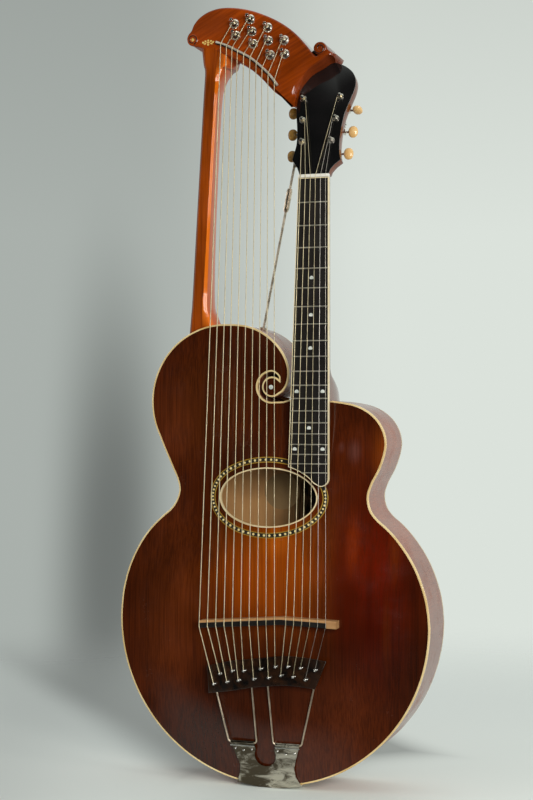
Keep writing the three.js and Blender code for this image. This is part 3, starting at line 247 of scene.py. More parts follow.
def flowing(points, steps, closed=False):
    """A smooth line through a few chosen points, as a bent lath lies between its pins."""
    p = [np.array(q, float) for q in points]
    n = len(p)
    spans = n if closed else n - 1
    out = []
    for k in range(steps + (0 if closed else 1)):
        t = spans * k / steps
        i = min(int(t), spans - 1)
        u = t - i
        if closed:
            a, b, c, d = p[(i - 1) % n], p[i % n], p[(i + 1) % n], p[(i + 2) % n]
        else:
            b, c = p[i], p[i + 1]
            a = p[i - 1] if i else 2 * b - c
            d = p[i + 2] if i + 2 < n else 2 * c - b
        d0, d1, d2 = (max(np.linalg.norm(v) ** 0.5, 1e-6) for v in (b - a, c - b, d - c))
        m1 = ((b - a) / d0 - (c - a) / (d0 + d1) + (c - b) / d1) * d1
        m2 = ((c - b) / d1 - (d - b) / (d1 + d2) + (d - c) / d2) * d1
        out.append(b + m1 * u + (3 * (c - b) - 2 * m1 - m2) * u ** 2 + (2 * (b - c) + m1 + m2) * u ** 3)
    return [tuple(q) for q in out]


def on_body(shares):
    """Points given as shares of the lower bout's half width and of the height above its middle."""
    return [(x * bout_half, bout_middle + z * upper_reach) for x, z in shares]


treble_edge = on_body([
    (0.389, 0.739), (0.459, 0.734), (0.535, 0.725), (0.61, 0.706), (0.672, 0.677), (0.714, 0.638),
    (0.728, 0.6), (0.718, 0.561), (0.685, 0.51), (0.64, 0.463), (0.618, 0.423), (0.632, 0.38),
    (0.671, 0.351), (0.723, 0.327), (0.774, 0.3), (0.826, 0.266), (0.877, 0.226), (0.919, 0.184),
    (0.954, 0.136), (0.98, 0.088), (0.994, 0.043),
])
waist_edge = on_body([
    (-0.998, 0.03), (-0.989, 0.08), (-0.97, 0.128), (-0.944, 0.173), (-0.91, 0.215), (-0.869, 0.255),
    (-0.825, 0.289), (-0.77, 0.322), (-0.713, 0.35), (-0.661, 0.374), (-0.626, 0.403), (-0.609, 0.436),
    (-0.622, 0.471), (-0.652, 0.507), (-0.721, 0.589),
])
shoulder_edge = on_body([
    (-0.245, 0.998), (-0.18, 0.994), (-0.122, 0.985), (-0.067, 0.971), (-0.018, 0.953), (0.025, 0.932),
    (0.062, 0.907), (0.089, 0.881), (0.105, 0.856), (0.111, 0.834), (0.108, 0.812), (0.096, 0.789),
    (0.07, 0.769),
])
neck_joint = on_body([(0.074, 0.737), (0.117, 0.743), (0.142, 0.742)])
carving_edge = on_body([(-0.026, 0.859), (-0.134, 0.831), (-0.164, 0.773), (-0.086, 0.708), (0.108, 0.689)])


def scroll_edge():
    """The round eye, then the outer wall of the crescent slit that runs round it."""
    eye = arc(0, scroll_height, scroll_radius, -52, -318, 44)
    outer = []
    for step in range(41):
        degrees = 52 + step / 40 * 218
        width = scroll_slit * min((degrees - 40) / 50, 1) ** 0.7
        outer += arc(0, scroll_height, scroll_radius + width, degrees, degrees, 1)[:1]
    return eye + outer


lower_bout = [(x * bout_half, bout_middle + z * bout_height) for x, z in arc(0, 0, 1, 0, -180, 100)]
shell_edge = (
    flowing(treble_edge, 100)
    + lower_bout
    + flowing(waist_edge, 60)
    + arc(-73, 551, 111.5, 205, 90, 48)
    + flowing(shoulder_edge, 60)
)
body_edge = shell_edge + scroll_edge() + flowing(neck_joint, 6)
carving_loop = shell_edge + carving_edge


def inset(loop, depth):
    """A clockwise outline drawn in by a depth, or out by a negative one."""
    p = np.array(loop, float)
    into, out = p - np.roll(p, 1, 0), np.roll(p, -1, 0) - p
    into /= np.linalg.norm(into, axis=1)[:, None]
    out /= np.linalg.norm(out, axis=1)[:, None]
    normal = np.stack([into[:, 1] + out[:, 1], -into[:, 0] - out[:, 0]], 1)
    normal /= np.linalg.norm(normal, axis=1)[:, None]
    lean = np.maximum((normal * np.stack([out[:, 1], -out[:, 0]], 1)).sum(1), 0.5)
    return [tuple(q) for q in p + normal * (depth / lean)[:, None]]


def measure(loop, points):
    """How far each point lies inside an outline, and whether it is inside at all."""
    a, q = np.array(loop, float), np.array(points, float)
    b = np.roll(a, -1, 0)
    nearest = np.full(len(q), 1e9)
    inside = np.zeros(len(q), bool)
    for (ax, az), (bx, bz) in zip(a, b):
        length = (bx - ax) ** 2 + (bz - az) ** 2
        t = np.clip(((q[:, 0] - ax) * (bx - ax) + (q[:, 1] - az) * (bz - az)) / max(length, 1e-12), 0, 1)
        nearest = np.minimum(nearest, np.hypot(ax + t * (bx - ax) - q[:, 0], az + t * (bz - az) - q[:, 1]))
        if az != bz:
            over = (az > q[:, 1]) != (bz > q[:, 1])
            inside ^= over & (q[:, 0] < ax + (q[:, 1] - az) / (bz - az) * (bx - ax))
    return nearest, inside


def arch_height(points):
    """The carver's arch: a flat border, a hollow rise and a broad crown, as a share of the crown."""
    depth, inside = measure(carving_loop, points)
    share = np.clip((np.where(inside, depth, 0) - flat_border) / (carve_reach - flat_border), 0, 1)
    return np.sin(share * math.pi / 2) ** hollow_rise


def smooth_up(mesh, crease):
    """Smooth where the surface is smooth, and sharp at edges that turn by more than the crease."""
    mesh.polygons.foreach_set("use_smooth", [True] * len(mesh.polygons))
    mesh.set_sharp_from_angle(angle=math.radians(crease))


def finish_mesh(mesh, crease=35):
    """Turns all faces outwards and smooths them."""
    work = bmesh.new()
    work.from_mesh(mesh)
    bmesh.ops.recalc_face_normals(work, faces=work.faces)
    if work.calc_volume(signed=True) < 0:
        bmesh.ops.reverse_faces(work, faces=work.faces)
    work.to_mesh(mesh)
    work.free()
    smooth_up(mesh, crease)
    mesh.update()


def new_object(name, points, faces, crease=35):
    """An object in metres from points in millimetres."""
    mesh = bpy.data.meshes.new(name)
    mesh.from_pydata([tuple(c * mm for c in p) for p in points], [], [tuple(f) for f in faces])
    finish_mesh(mesh, crease)
    made = bpy.data.objects.new(name, mesh)
    scene.collection.objects.link(made)
    return made


def piece(name, points, faces, finish, body="guitar", slot=None, stands_for=(), crease=35):
    """A made piece: its shape, its finish, and the body that carries it. A string has no one body,
    because it runs between two."""
    made = new_object(name, points, faces, crease)
    made.data.materials.append(finish)
    if body:
        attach(made, body)
    if stands_for:
        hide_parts(*stands_for)
    return made


def effect(name, inputs, outputs):
    """An empty group of shader nodes with named sockets, for an effect that several finishes share.
    An input without a value is a place."""
    group = bpy.data.node_groups.new(name, "ShaderNodeTree")
    for label, value in inputs.items():
        kind = "NodeSocketVector" if value is None else "NodeSocketFloat"
        socket = group.interface.new_socket(name=label, in_out="INPUT", socket_type=kind)
        if value is not None:
            socket.default_value = value
    for label in outputs:
        group.interface.new_socket(name=label, in_out="OUTPUT", socket_type="NodeSocketFloat")
    return group, group.nodes.new("NodeGroupInput").outputs, group.nodes.new("NodeGroupOutput").inputs


# Wood grain: fine lines and broad bands that run along Z, as one value and one height.
grain, grain_in, grain_out = effect(
    "wood grain", {"Place": None, "Lines": 600.0, "Length": 12.0}, ("Streaks", "Bands", "Height"),
)
grain_scale = node(grain, "CombineXYZ", grain_in["Lines"], grain_in["Lines"], grain_in["Length"])
grain_place = node(grain, "VectorMath", grain_in["Place"], grain_scale, operation="MULTIPLY")
grain_lines = node(grain, "TexNoise", Vector=grain_place, Scale=1.0, Detail=4.0, Roughness=0.6)
grain_bands = node(grain, "TexNoise", Vector=grain_place, Scale=0.11, Detail=3.0, Roughness=0.55)
dress(grain_out, Streaks=grain_lines, Bands=grain_bands, Height=grain_lines)

# Handling: smudges that dull a polished surface here and there, and a few darker rubbed clouds.
handling, handling_in, handling_out = effect(
    "handling marks", {"Place": None, "Polish": 0.12, "Dulling": 0.15}, ("Roughness", "Clouds"),
)
smudges = node(handling, "TexNoise", Vector=handling_in["Place"], Scale=28.0, Detail=5.0, Roughness=0.62)
dull = node(
    handling, "Math", ramp(handling, smudges, 0.45, 0.75), handling_in["Dulling"], handling_in["Polish"],
    operation="MULTIPLY_ADD",
)
clouds = node(handling, "TexNoise", Vector=handling_in["Place"], Scale=7.0, Detail=2.0)
dress(handling_out, Roughness=dull, Clouds=clouds)


def handled(tree, place, polish, dulling):
    """The handling marks at the places of one finish."""
    return node(tree, "Group", node_tree=handling, Place=place, Polish=polish, Dulling=dulling).outputs


def varnished_wood(
    name, dark, light, lines, length, stain_and_light_spots=(), polish=0.1, bump=0.15, contrast=1.0, lean=0, depth=0.7,
    coat=0.5,
):
    """Stained and varnished wood: grain between a dark and a light stain, under a clear glossy coat.
    stain_and_light_spots is a list of (x, z, half width, half height, strength, colour) spots of stain
    rubbed thin and of painted light and shade, lean is the angle of the grain from upright, and depth
    is how dark the cloudy places go."""
    made, tree, shader, place = new_finish(name)
    turned_grain = node(tree, "Mapping", place, Rotation=(0, math.radians(lean), 0))
    fibres = node(tree, "Group", node_tree=grain, Place=turned_grain, Lines=lines, Length=length).outputs
    marks = handled(tree, place, polish, 0.2)
    streaks = ramp(tree, fibres["Streaks"], 0.5 - 0.2 / contrast, 0.5 + 0.2 / contrast)
    figure = node(tree, "Mix", Factor=0.55, A=streaks, B=fibres["Bands"])
    lift = ramp(tree, figure, 0.2, 0.8, 0.55, 1.15)
    colour = mixed(tree, figure, dark, light)
    for x, z, wide, high, strength, tint in stain_and_light_spots:
        size = (wide * mm, 10, high * mm)
        spot = node(tree, "Mapping", place, vector_type="TEXTURE", Location=(x * mm, 0, z * mm), Scale=size)
        near = fade(tree, node(tree, "VectorMath", spot, operation="LENGTH"), 1, 0, 0, strength)
        colour = mixed(tree, node(tree, "Math", near, lift, operation="MULTIPLY"), colour, tint)
    clouding = ramp(tree, marks["Clouds"], 0.35, 0.65, depth, 1.12)
    dress(
        shader, Base_Color=mixed(tree, 1, colour, clouding, "MULTIPLY"), Roughness=marks["Roughness"],
        Normal=node(tree, "Bump", Strength=bump, Distance=0.0002, Height=fibres["Height"]),
        Coat_Weight=coat, Coat_Roughness=0.06, Specular_IOR_Level=0.2,
    )
    return made


top_varnish = varnished_wood(
    "sunburst spruce", (0.022, 0.0045, 0.0012), (0.095, 0.016, 0.0025), 520, 7,
    stain_and_light_spots=[
        (2, 300, 165, 215, 0.85, (0.25, 0.044, 0.002)),
        (2, 315, 105, 140, 0.85, (0.48, 0.088, 0.002)),
        (6, 352, 48, 34, 0.5, (0.62, 0.14, 0.003)),
        (120, 470, 75, 120, 0.35, (0.16, 0.022, 0.002)),
        (166, 468, 27, 85, 0.75, (0.27, 0.052, 0.003)),
        (160, 300, 92, 235, 0.95, (0.115, 0.0062, 0.0002)),
        (112, 290, 34, 170, 0.7, (0.085, 0.006, 0.0003)),
        (122, 352, 16, 70, 0.6, (0.22, 0.024, 0.0008)),
        (148, 270, 9, 120, 0.55, (0.045, 0.004, 0.0004)),
        (182, 350, 13, 90, 0.5, (0.16, 0.026, 0.001)),
        (172, 220, 10, 90, 0.5, (0.15, 0.024, 0.001)),
        (205, 330, 26, 90, 0.5, (0.05, 0.006, 0.001)),
        (-150, 250, 90, 220, 0.65, (0.17, 0.034, 0.006)),
        (50, 110, 200, 120, 0.45, (0.12, 0.026, 0.008)),
        (-95, 545, 95, 130, 0.4, (0.15, 0.035, 0.005)),
        (-150, 520, 60, 90, 0.5, (0.17, 0.035, 0.008)),
        (-30, 470, 60, 60, 0.45, (0.02, 0.006, 0.003)),
        # Two pale grey spots on the treble upper bout: scuffed varnish, with a painted reflection on it.
        (124, 480, 16, 26, 0.2, (0.2, 0.11, 0.1)),
        (106, 486, 7, 12, 0.16, (0.2, 0.11, 0.1)),
    ],
    polish=0.13, contrast=1.7, depth=0.55,
)
back_varnish = varnished_wood(
    "sunburst maple", (0.03, 0.008, 0.003), (0.1, 0.024, 0.006), 260, 14,
    stain_and_light_spots=[(0, 270, 190, 240, 0.7, (0.3, 0.085, 0.014))], polish=0.1,
)


def carved_plate(name, border, hole, front_of, back_of, finish, slot, stands_for, spacing=7.5):
    """A thin carved plate with a smooth skin on both sides, walls at its border and at its hole."""
    low, high = np.min(border, 0), np.max(border, 0)
    row_step, edge_gap = spacing * 0.866, spacing * 0.45
    grid = [
        (x, z)
        for row, z in enumerate(np.arange(low[1], high[1], row_step))
        for x in np.arange(low[0] + (row % 2) * spacing / 2, high[0], spacing)
    ]
    near, inside = measure(border, grid)
    keep = inside & (near > edge_gap)
    if hole:
        near, within = measure(hole, grid)
        keep &= ~within & (near > edge_gap)
    points, edges = [], []
    for loop in (border, hole) if hole else (border,):
        start = len(points)
        points += loop
        edges += [(start + i, start + (i + 1) % len(loop)) for i in range(len(loop))]
    points += [g for g, k in zip(grid, keep) if k]
    found = delaunay_2d_cdt([Vector(p) for p in points], edges, [], 0, 1e-6)
    flat = [tuple(v) for v in found[0]]
    centres = [np.mean([flat[i] for i in face], 0) for face in found[2]]
    use = measure(border, centres)[1]
    if hole:
        use &= ~measure(hole, centres)[1]
    faces = [face for face, k in zip(found[2], use) if k]
    share = arch_height(flat)
    neighbours = [set() for _ in flat]
    for face in faces:
        for i in range(3):
            neighbours[face[i]].add(face[i - 1])
            neighbours[face[i - 1]].add(face[i])
    pairs = np.array([(i, j) for i, js in enumerate(neighbours) for j in js])
    count = np.maximum(np.bincount(pairs[:, 0], minlength=len(flat)), 1)
    scraping_rounds, scraping = 14, 0.6
    for _ in range(scraping_rounds):
        mean = np.bincount(pairs[:, 0], weights=share[pairs[:, 1]], minlength=len(flat)) / count
        mean[: len(border)] = share[: len(border)]
        share = share * (1 - scraping) + mean * scraping
    n = len(flat)
    skin = [(x, side_of(s), z) for side_of in (front_of, back_of) for (x, z), s in zip(flat, share)]
    sides = {(face[i - 1], face[i]) for face in faces for i in range(3)}
    walls = [(a, b, b + n, a + n) for a, b in sorted(sides) if (b, a) not in sides]
    mirrored = [tuple(i + n for i in reversed(face)) for face in faces]
    return piece(name, skin, faces + mirrored + walls, finish, slot=slot, stands_for=stands_for, crease=50)


hole_x, hole_z, hole_half_width, hole_half_height = -1, 413.5, 72.5, 42


def oval(grow, steps=120):
    """The oval of the soundhole, drawn wider or narrower, clockwise."""
    wide, high = hole_half_width + grow, hole_half_height + grow
    return [(hole_x + x * wide, hole_z + z * high) for x, z in arc(0, 0, 1, 360, 360 / steps, steps - 1)]


plate_edge = inset(body_edge, binding_width + 0.05)
carved_plate(
    "carved_top", plate_edge, oval(0.05),
    lambda s: front_edge - top_crown * s, lambda s: front_edge - top_crown * s + plate_thickness,
    top_varnish, "dark_varnished_wood", ("top_plate",),
)
carved_plate(
    "carved_back", plate_edge, None,
    lambda s: back_edge + back_crown * s - plate_thickness, lambda s: back_edge + back_crown * s,
    back_varnish, "dark_varnished_wood", ("back_plate",), spacing=9,
)


# Rim: maple ribs bent on a hot iron, glued to the blocks inside, with the grain running round.
# Seen at a low angle its varnish mirrors the pale room.
def lofted(rings, closed=False):
    """A skin over one ring of points after another, with two flat ends, or closed on itself."""
    n, count = len(rings[0]), len(rings)
    faces = []
    for level in range(count if closed else count - 1):
        here, after = level * n, (level + 1) % count * n
        faces += [(here + i, here + (i + 1) % n, after + (i + 1) % n, after + i) for i in range(n)]
    if not closed:
        faces += [tuple(range(n)), tuple(reversed(range((count - 1) * n, count * n)))]
    return [tuple(p) for ring in rings for p in ring], faces


def swept(loop, section):
    """A moulding run round a closed outline. The section is (depth inwards, Y) pairs."""
    lines = [(inset(loop, depth) if depth else loop, y) for depth, y in section]
    return lofted([[(line[i][0], y, line[i][1]) for line, y in lines] for i in range(len(loop))], closed=True)


rim_varnish = varnished_wood(
    "rim maple", (0.2, 0.05, 0.028), (0.42, 0.14, 0.075), 30, 420, polish=0.2, bump=0.1, coat=0.22,
)
rib_depth, rib_half = 4, 45.45
rib_section = [(0, -rib_half), (0, rib_half), (rib_depth, rib_half), (rib_depth, -rib_half)]
piece(
    "bent_rim", *swept(body_edge, rib_section), rim_varnish, slot="dark_varnished_wood", stands_for=("rim",),
    crease=40,
)


# Bindings: strips of yellowed ivoroid let into both corners of the body, scraped flush and
# slightly rounded over, so they catch the light as one thin bright line.
def polished_plastic(name, pale, deep, roughness, vein=18.0, coat=0.3):
    """Cast plastic with slow clouds of a deeper colour and a hand polish."""
    made, tree, shader, place = new_finish(name)
    cloud = node(tree, "TexNoise", Vector=place, Scale=vein, Detail=4.0, Roughness=0.6, Distortion=0.8)
    dress(
        shader, Base_Color=mixed(tree, ramp(tree, cloud, 0.35, 0.68), pale, deep),
        Roughness=handled(tree, place, roughness, 0.18)["Roughness"], Coat_Weight=coat, Coat_Roughness=0.08,
    )
    return made


ivoroid = polished_plastic("yellowed ivoroid", (0.87, 0.68, 0.34), (0.66, 0.43, 0.15), 0.2, vein=14)
edge_round, half_round, half_drop = 0.8, 0.25, 0.2
for name, face, turn, solid in (
    ("front_binding", front_edge, -1, "top_binding"), ("rear_binding", back_edge, 1, "back_binding"),
):
    inner = face - turn * plate_thickness
    binding_section = [
        (0, inner), (0, face - turn * edge_round), (half_round, face - turn * half_drop), (edge_round, face),
        (binding_width, face), (binding_width, inner),
    ]
    piece(name, *swept(body_edge, binding_section), ivoroid, slot="ivoroid", stands_for=(solid,))


# Soundhole trim: an ivoroid ring in the edge of the hole, and round it an inlaid band of
# black with ivoroid dots between two gold wood lines. The board's end interrupts the band.
black_inlay = polished_plastic(
    "black inlay", (0.006, 0.005, 0.004), (0.016, 0.012, 0.008), 0.4, coat=0.05,
)
gold_line = varnished_wood("gold line", (0.3, 0.16, 0.02), (0.55, 0.34, 0.05), 500, 500, bump=0.05)
pale_edge = polished_plastic("pale soundhole ivoroid", (0.95, 0.82, 0.52), (0.8, 0.6, 0.3), 0.2, vein=20)
pale_dot = polished_plastic("pale dots", (0.98, 0.86, 0.42), (0.85, 0.66, 0.26), 0.3, vein=200, coat=0.1)


def top_front(points):
    """How far forward the carved top's face lies at each point."""
    return front_edge - top_crown * arch_height(points)


def oval_ring(name, inner, outer, rise, sink, finish, slot, steps=144):
    """A flat ring let into the top round the soundhole, following the arch."""
    middle = top_front(oval((inner + outer) / 2, steps))
    neighbours = range(-4, 5)
    middle = sum(np.roll(middle, k) for k in neighbours) / len(neighbours)
    rings = [
        [(ax, y - rise, az), (bx, y - rise, bz), (bx, y + sink, bz), (ax, y + sink, az)]
        for (ax, az), (bx, bz), y in zip(oval(inner, steps), oval(outer, steps), middle)
    ]
    piece(name, *lofted(rings, closed=True), finish, slot=slot)


band_inner, band_outer, line_width = 9.2, 14.6, 1.3
band_rise, line_rise, inlay_depth = 0.3, 0.36, 2
oval_ring("soundhole_binding", -1.1, 0.8, 0.5, plate_thickness, pale_edge, "ivoroid")
for name, inner, outer, rise, finish, slot in (
    ("rosette_inner_line", band_inner - line_width, band_inner, line_rise, gold_line, "light_wood"),
    ("rosette_band", band_inner, band_outer, band_rise, black_inlay, "ebony"),
    ("rosette_outer_line", band_outer, band_outer + line_width, line_rise, gold_line, "light_wood"),
):
    oval_ring(name, inner, outer, rise, inlay_depth, finish, slot)


def at(x, y, z):
    """A place for a turned piece to stand."""
    return Matrix.Translation((x, y, z))


def turned(profile, sides, matrix=None, square=()):
    """A piece turned on the lathe about Y. The profile is (radius, along) pairs; rings listed in
    square are filed to four flats."""
    points, faces, rings = [], [], []
    for index, (radius, along) in enumerate(profile):
        if radius < 1e-6:
            rings.append([len(points)])
            points.append(Vector((0, along, 0)))
            continue
        ring = []
        for step in range(sides):
            a = 2 * math.pi * step / sides
            grow = 1 / max(abs(math.cos(a)), abs(math.sin(a))) if index in square else 1
            ring.append(len(points))
            points.append(Vector((radius * grow * math.cos(a), along, radius * grow * math.sin(a))))
        rings.append(ring)
    for a, b in zip(rings, rings[1:]):
        for i in range(sides):
            j = (i + 1) % sides
            if len(a) == 1:
                faces.append((a[0], b[i], b[j]))
            elif len(b) == 1:
                faces.append((a[i], b[0], a[j]))
            else:
                faces.append((a[i], b[i], b[j], a[j]))
    if matrix is not None:
        points = [matrix @ p for p in points]
    return [tuple(p) for p in points], faces


def gathered(*parts):
    """Several shapes as one piece."""
    points, faces = [], []
    for part_points, part_faces in parts:
        start = len(points)
        points += list(part_points)
        faces += [tuple(i + start for i in face) for face in part_faces]
    return points, faces


dot_profile = [(0, -0.55), (1.1, -0.52), (1.7, -0.4), (1.75, 0.6), (0, 0.6)]
dot_line = oval((band_inner + band_outer) / 2, 66)
board_side, board_end = 26, 426
dots = [
    turned(dot_profile, 12, at(x, y, z))
    for (x, z), y in zip(dot_line, top_front(dot_line))
    if x < board_side or z < board_end
]
piece("rosette_dots", *gathered(*dots), pale_dot, slot="ivoroid")


# Inside of the body: bare spruce and maple seen through the hole, one cross brace, and the
# plain paper label on the back. The label is bare.
bare_wood = varnished_wood(
    "bare wood inside", (0.7, 0.34, 0.12), (0.86, 0.48, 0.19), 380, 30, polish=0.7, bump=0.3,
    # A dark spot on the treble side of the inside: painted shade, where the top shuts out the lamp.
    stain_and_light_spots=[(70, 430, 130, 200, 1.6, (0.012, 0.008, 0.004))], coat=0,
)
paper, paper_tree, paper_shader, paper_place = new_finish("aged paper")
paper_cloud = node(paper_tree, "TexNoise", Vector=paper_place, Scale=60.0, Detail=6.0)
paper_colour = mixed(paper_tree, paper_cloud, (0.44, 0.28, 0.12), (0.36, 0.22, 0.09))
dress(paper_shader, Base_Color=paper_colour, Roughness=0.9)

lining_inset, lining_step = 6, 6
lining_edge = inset(carving_loop, lining_inset)
lining_near, lining_inside = measure(carving_loop, lining_edge)
lining_edge = [
    p for p, d, i in zip(lining_edge, lining_near, lining_inside) if i and d > lining_inset - 0.5
][::lining_step]
lining_front, lining_back = 44.6, 45.4
lining = lofted([[(x, y, z) for x, z in lining_edge] for y in (lining_front, lining_back)])
piece("bare_inside_of_back", *lining, bare_wood, slot="light_wood")
label_radius, label_front, label_back = 27, 43.9, 44.5
label_x, label_z = -13, 418
label_profile = [(0, label_front), (label_radius, label_front), (label_radius, label_back), (0, label_back)]
piece("paper_label", *turned(label_profile, 48, at(label_x, 0, label_z)), paper, slot="bone")
brace_half, brace_section = 150, [(36, 452), (36, 461), (44.5, 461), (44.5, 452)]
brace = lofted([[(x, y, z) for y, z in brace_section] for x in (-brace_half, brace_half)])
piece("back_brace", *brace, bare_wood, slot="light_wood")


# Fingerboard: ebony, bound in ivoroid, with nickel-silver frets and round pearl dots. Its end
# follows the ring round the soundhole and turns up in a soft corner on the treble side.
neck_x, bridge_z, scale = 62, 240, 628.65
nut_z = bridge_z + scale
neck_slope = math.tan(math.radians(2.6))
board_lift, board_thickness = 33, 6
board_nut_width, octave_flare = 45, 10.5
board_end_width, board_end_height = 79, 48.5
board_corner_z, board_corner = 441.5, 11
board_edging = 1.1


def board_top(z):
    """How far forward the face of the fingerboard lies at a height."""
    return front_edge - board_lift + (z - bridge_z) * neck_slope


def board_back(z):
    """How far forward the underside of the fingerboard lies at a height."""
    return board_top(z) + board_thickness


def board_half(z):
    """Half the width of the fingerboard, which widens evenly from the nut."""
    return (board_nut_width + octave_flare * (nut_z - z) / (scale / 2)) / 2


def board_edge(draw_in=0.0):
    """The outline of the board, whose end is an arc of an oval round the soundhole."""
    wide, high = board_end_width + draw_in, board_end_height + draw_in
    left = neck_x - board_half(board_corner_z) + draw_in
    corner_x = neck_x + board_half(board_corner_z) - board_corner
    start = math.degrees(math.acos((left - hole_x) / wide))
    stop = math.degrees(math.acos((corner_x - hole_x - board_corner) / wide))
    end = [(hole_x + x * wide, hole_z + z * high) for x, z in arc(0, 0, 1, start, stop, 24)]
    corner = arc(corner_x, board_corner_z, board_corner - draw_in, -110, 0, 16)
    top = nut_z - draw_in
    half = board_half(top) - draw_in
    return [(neck_x - half, top), *end, *corner, (neck_x + half, top)][::-1]


def sloped(loop, front_of, back_of):
    """A flat-sided plate whose faces follow the slope of the neck."""
    return lofted([[(x, face_of(z), z) for x, z in loop] for face_of in (front_of, back_of)])


ebony = varnished_wood(
    "ebony", (0.008, 0.007, 0.006), (0.025, 0.021, 0.018), 700, 20, polish=0.3, bump=0.2, coat=0.1,
)
pearl = polished_plastic("pearl", (0.85, 0.85, 0.78), (0.55, 0.62, 0.55), 0.12, vein=220, coat=0.8)
pale_ivoroid = polished_plastic("pale ivoroid", (0.93, 0.82, 0.55), (0.82, 0.66, 0.36), 0.25, vein=20)
bound_edge, wood_edge = board_edge(), board_edge(board_edging)
board_wood = sloped(wood_edge, board_top, board_back)
piece("ebony_board", *board_wood, ebony, slot="ebony", stands_for=("fretboard",))
proud = 0.02
board_strip = lofted([
    [(x, board_back(z) if back else board_top(z) - proud, z) for x, z in loop]
    for loop, back in ((bound_edge, False), (wood_edge, False), (wood_edge, True), (bound_edge, True))
], closed=True)
piece("board_binding", *board_strip, pale_ivoroid, slot="ivoroid")


def fret_span(z, short=0.3, clear=0.4):
    """Where a fret begins and ends, as the lower frets stop at the curved end of the board."""
    left, right = neck_x - board_half(z) + short, neck_x + board_half(z) - short
    rise = (z - hole_z) / board_end_height
    if rise < 1:
        left = max(left, hole_x + board_end_width * math.sqrt(1 - rise ** 2) + clear)
    return left, right


def metal(name, colour, roughness, dark=0.55, spots=30.0):
    """Plated or bare metal that has dulled in the hollows and been polished by hands."""
    made, tree, shader, place = new_finish(name)
    tarnish = node(tree, "TexNoise", Vector=place, Scale=spots, Detail=6.0, Roughness=0.65)
    dulled = tuple(c * dark for c in colour)
    dress(
        shader, Base_Color=mixed(tree, ramp(tree, tarnish, 0.42, 0.72), colour, dulled), Metallic=1,
        Roughness=handled(tree, place, roughness, 0.25)["Roughness"],
        Normal=node(tree, "Bump", Strength=0.08, Distance=0.0002, Height=tarnish),
    )
    return made


nickel = metal("worn nickel plate", (0.88, 0.83, 0.74), 0.19, dark=0.45, spots=70)
fret_wire = metal("fret wire", (0.92, 0.86, 0.72), 0.42, dark=0.8, spots=200)
fret_places = [bridge_z + scale * 2 ** (-number / 12) for number in range(20)]
fret_profile = [
    (0.5, -0.8), (-0.45, -0.8), (-0.85, -0.55), (-1.08, 0), (-0.85, 0.55), (-0.45, 0.8), (0.5, 0.8),
]
frets = [
    lofted([[(x, board_top(z) + back, z + up) for back, up in fret_profile] for x in fret_span(z)])
    for z in fret_places[1:]
]
piece("frets", *gathered(*frets), fret_wire, slot="nickel_plate", crease=30)

board_dots = []
dot_radius, dot_depth = 3.2, 0.5
dotted_frets = {5: (0,), 7: (0,), 9: (0,), 12: (-19, 19), 15: (0,), 17: (-20.4, 20.4)}
for number, offsets in dotted_frets.items():
    z = (fret_places[number - 1] + fret_places[number]) / 2
    for offset in offsets:
        spot = at(neck_x + offset, board_top(z), z)
        dot = [(0, -0.08), (2.9, -0.06), (dot_radius, 0), (dot_radius, dot_depth), (0, dot_depth)]
        board_dots.append(turned(dot, 28, spot))
piece("pearl_dots", *gathered(*board_dots), pearl, slot="ivoroid")
eye_x, eye_z = -1, 571
eye = at(eye_x, float(top_front([(eye_x, eye_z)])[0]), eye_z)
eye_dot = turned([(0, -0.4), (2.8, -0.36), (dot_radius, -0.2), (dot_radius, 1), (0, 1)], 28, eye)
piece("scroll_pearl", *eye_dot, pearl, slot="ivoroid")


# Nut: bone, glued at the end of the fingerboard and filed down towards the headstock, with its
# front edge rounded where the strings break over it.
bone = polished_plastic("bone", (0.9, 0.88, 0.8), (0.78, 0.74, 0.6), 0.3, vein=90, coat=0.1)
nut_half, nut_proud, nut_foot = 22.4, 2, board_back(nut_z)
nut_front = board_top(nut_z) - nut_proud
nut_profile = [
    (nut_foot, 0.3), (nut_foot, 5), (nut_front + 1.35, 5), (nut_front + 1.0, 4.8), (nut_front + 0.1, 2.7),
    (nut_front, 2.2), (nut_front, 0.7), (nut_front + 0.25, 0.35), (nut_front + 0.6, 0.3),
]
nut_ends = neck_x - nut_half, neck_x + nut_half
nut_shape = lofted([[(x, y, nut_z + up) for y, up in nut_profile] for x in nut_ends])
piece("bone_nut", *nut_shape, bone, slot="bone", stands_for=("nut",))


# Neck and headstock: one piece of mahogany with a swelling heel, faced on the headstock with
# polished black veneer. The headstock leans back and holds the six machine posts.
headstock_lean, headstock_set_back = math.radians(14), 1
headstock_root = at(neck_x, board_top(nut_z) + headstock_set_back, nut_z)
headstock_place = headstock_root @ Matrix.Rotation(-headstock_lean, 4, "X")
headstock_width, headstock_length = 86, 177
headstock_shares = [
    (-0.251, 0.034), (-0.299, 0.093), (-0.393, 0.159), (-0.379, 0.2), (-0.342, 0.294), (-0.353, 0.433),
    (-0.386, 0.573), (-0.374, 0.702), (-0.287, 0.818), (-0.151, 0.9), (0.052, 0.958), (0.184, 1),
    (0.322, 0.986), (0.453, 0.949), (0.556, 0.898), (0.606, 0.831), (0.595, 0.756), (0.527, 0.653),
    (0.45, 0.538), (0.414, 0.423), (0.401, 0.296), (0.415, 0.201), (0.443, 0.148), (0.345, 0.109),
    (0.279, 0.069), (0.255, 0.034),
]
headstock_corners = [(x * headstock_width, z * headstock_length) for x, z in headstock_shares]
headstock_edge = (
    headstock_corners[:3]
    + flowing(headstock_corners[2:23], 80)[1:-1]
    + headstock_corners[22:]
)


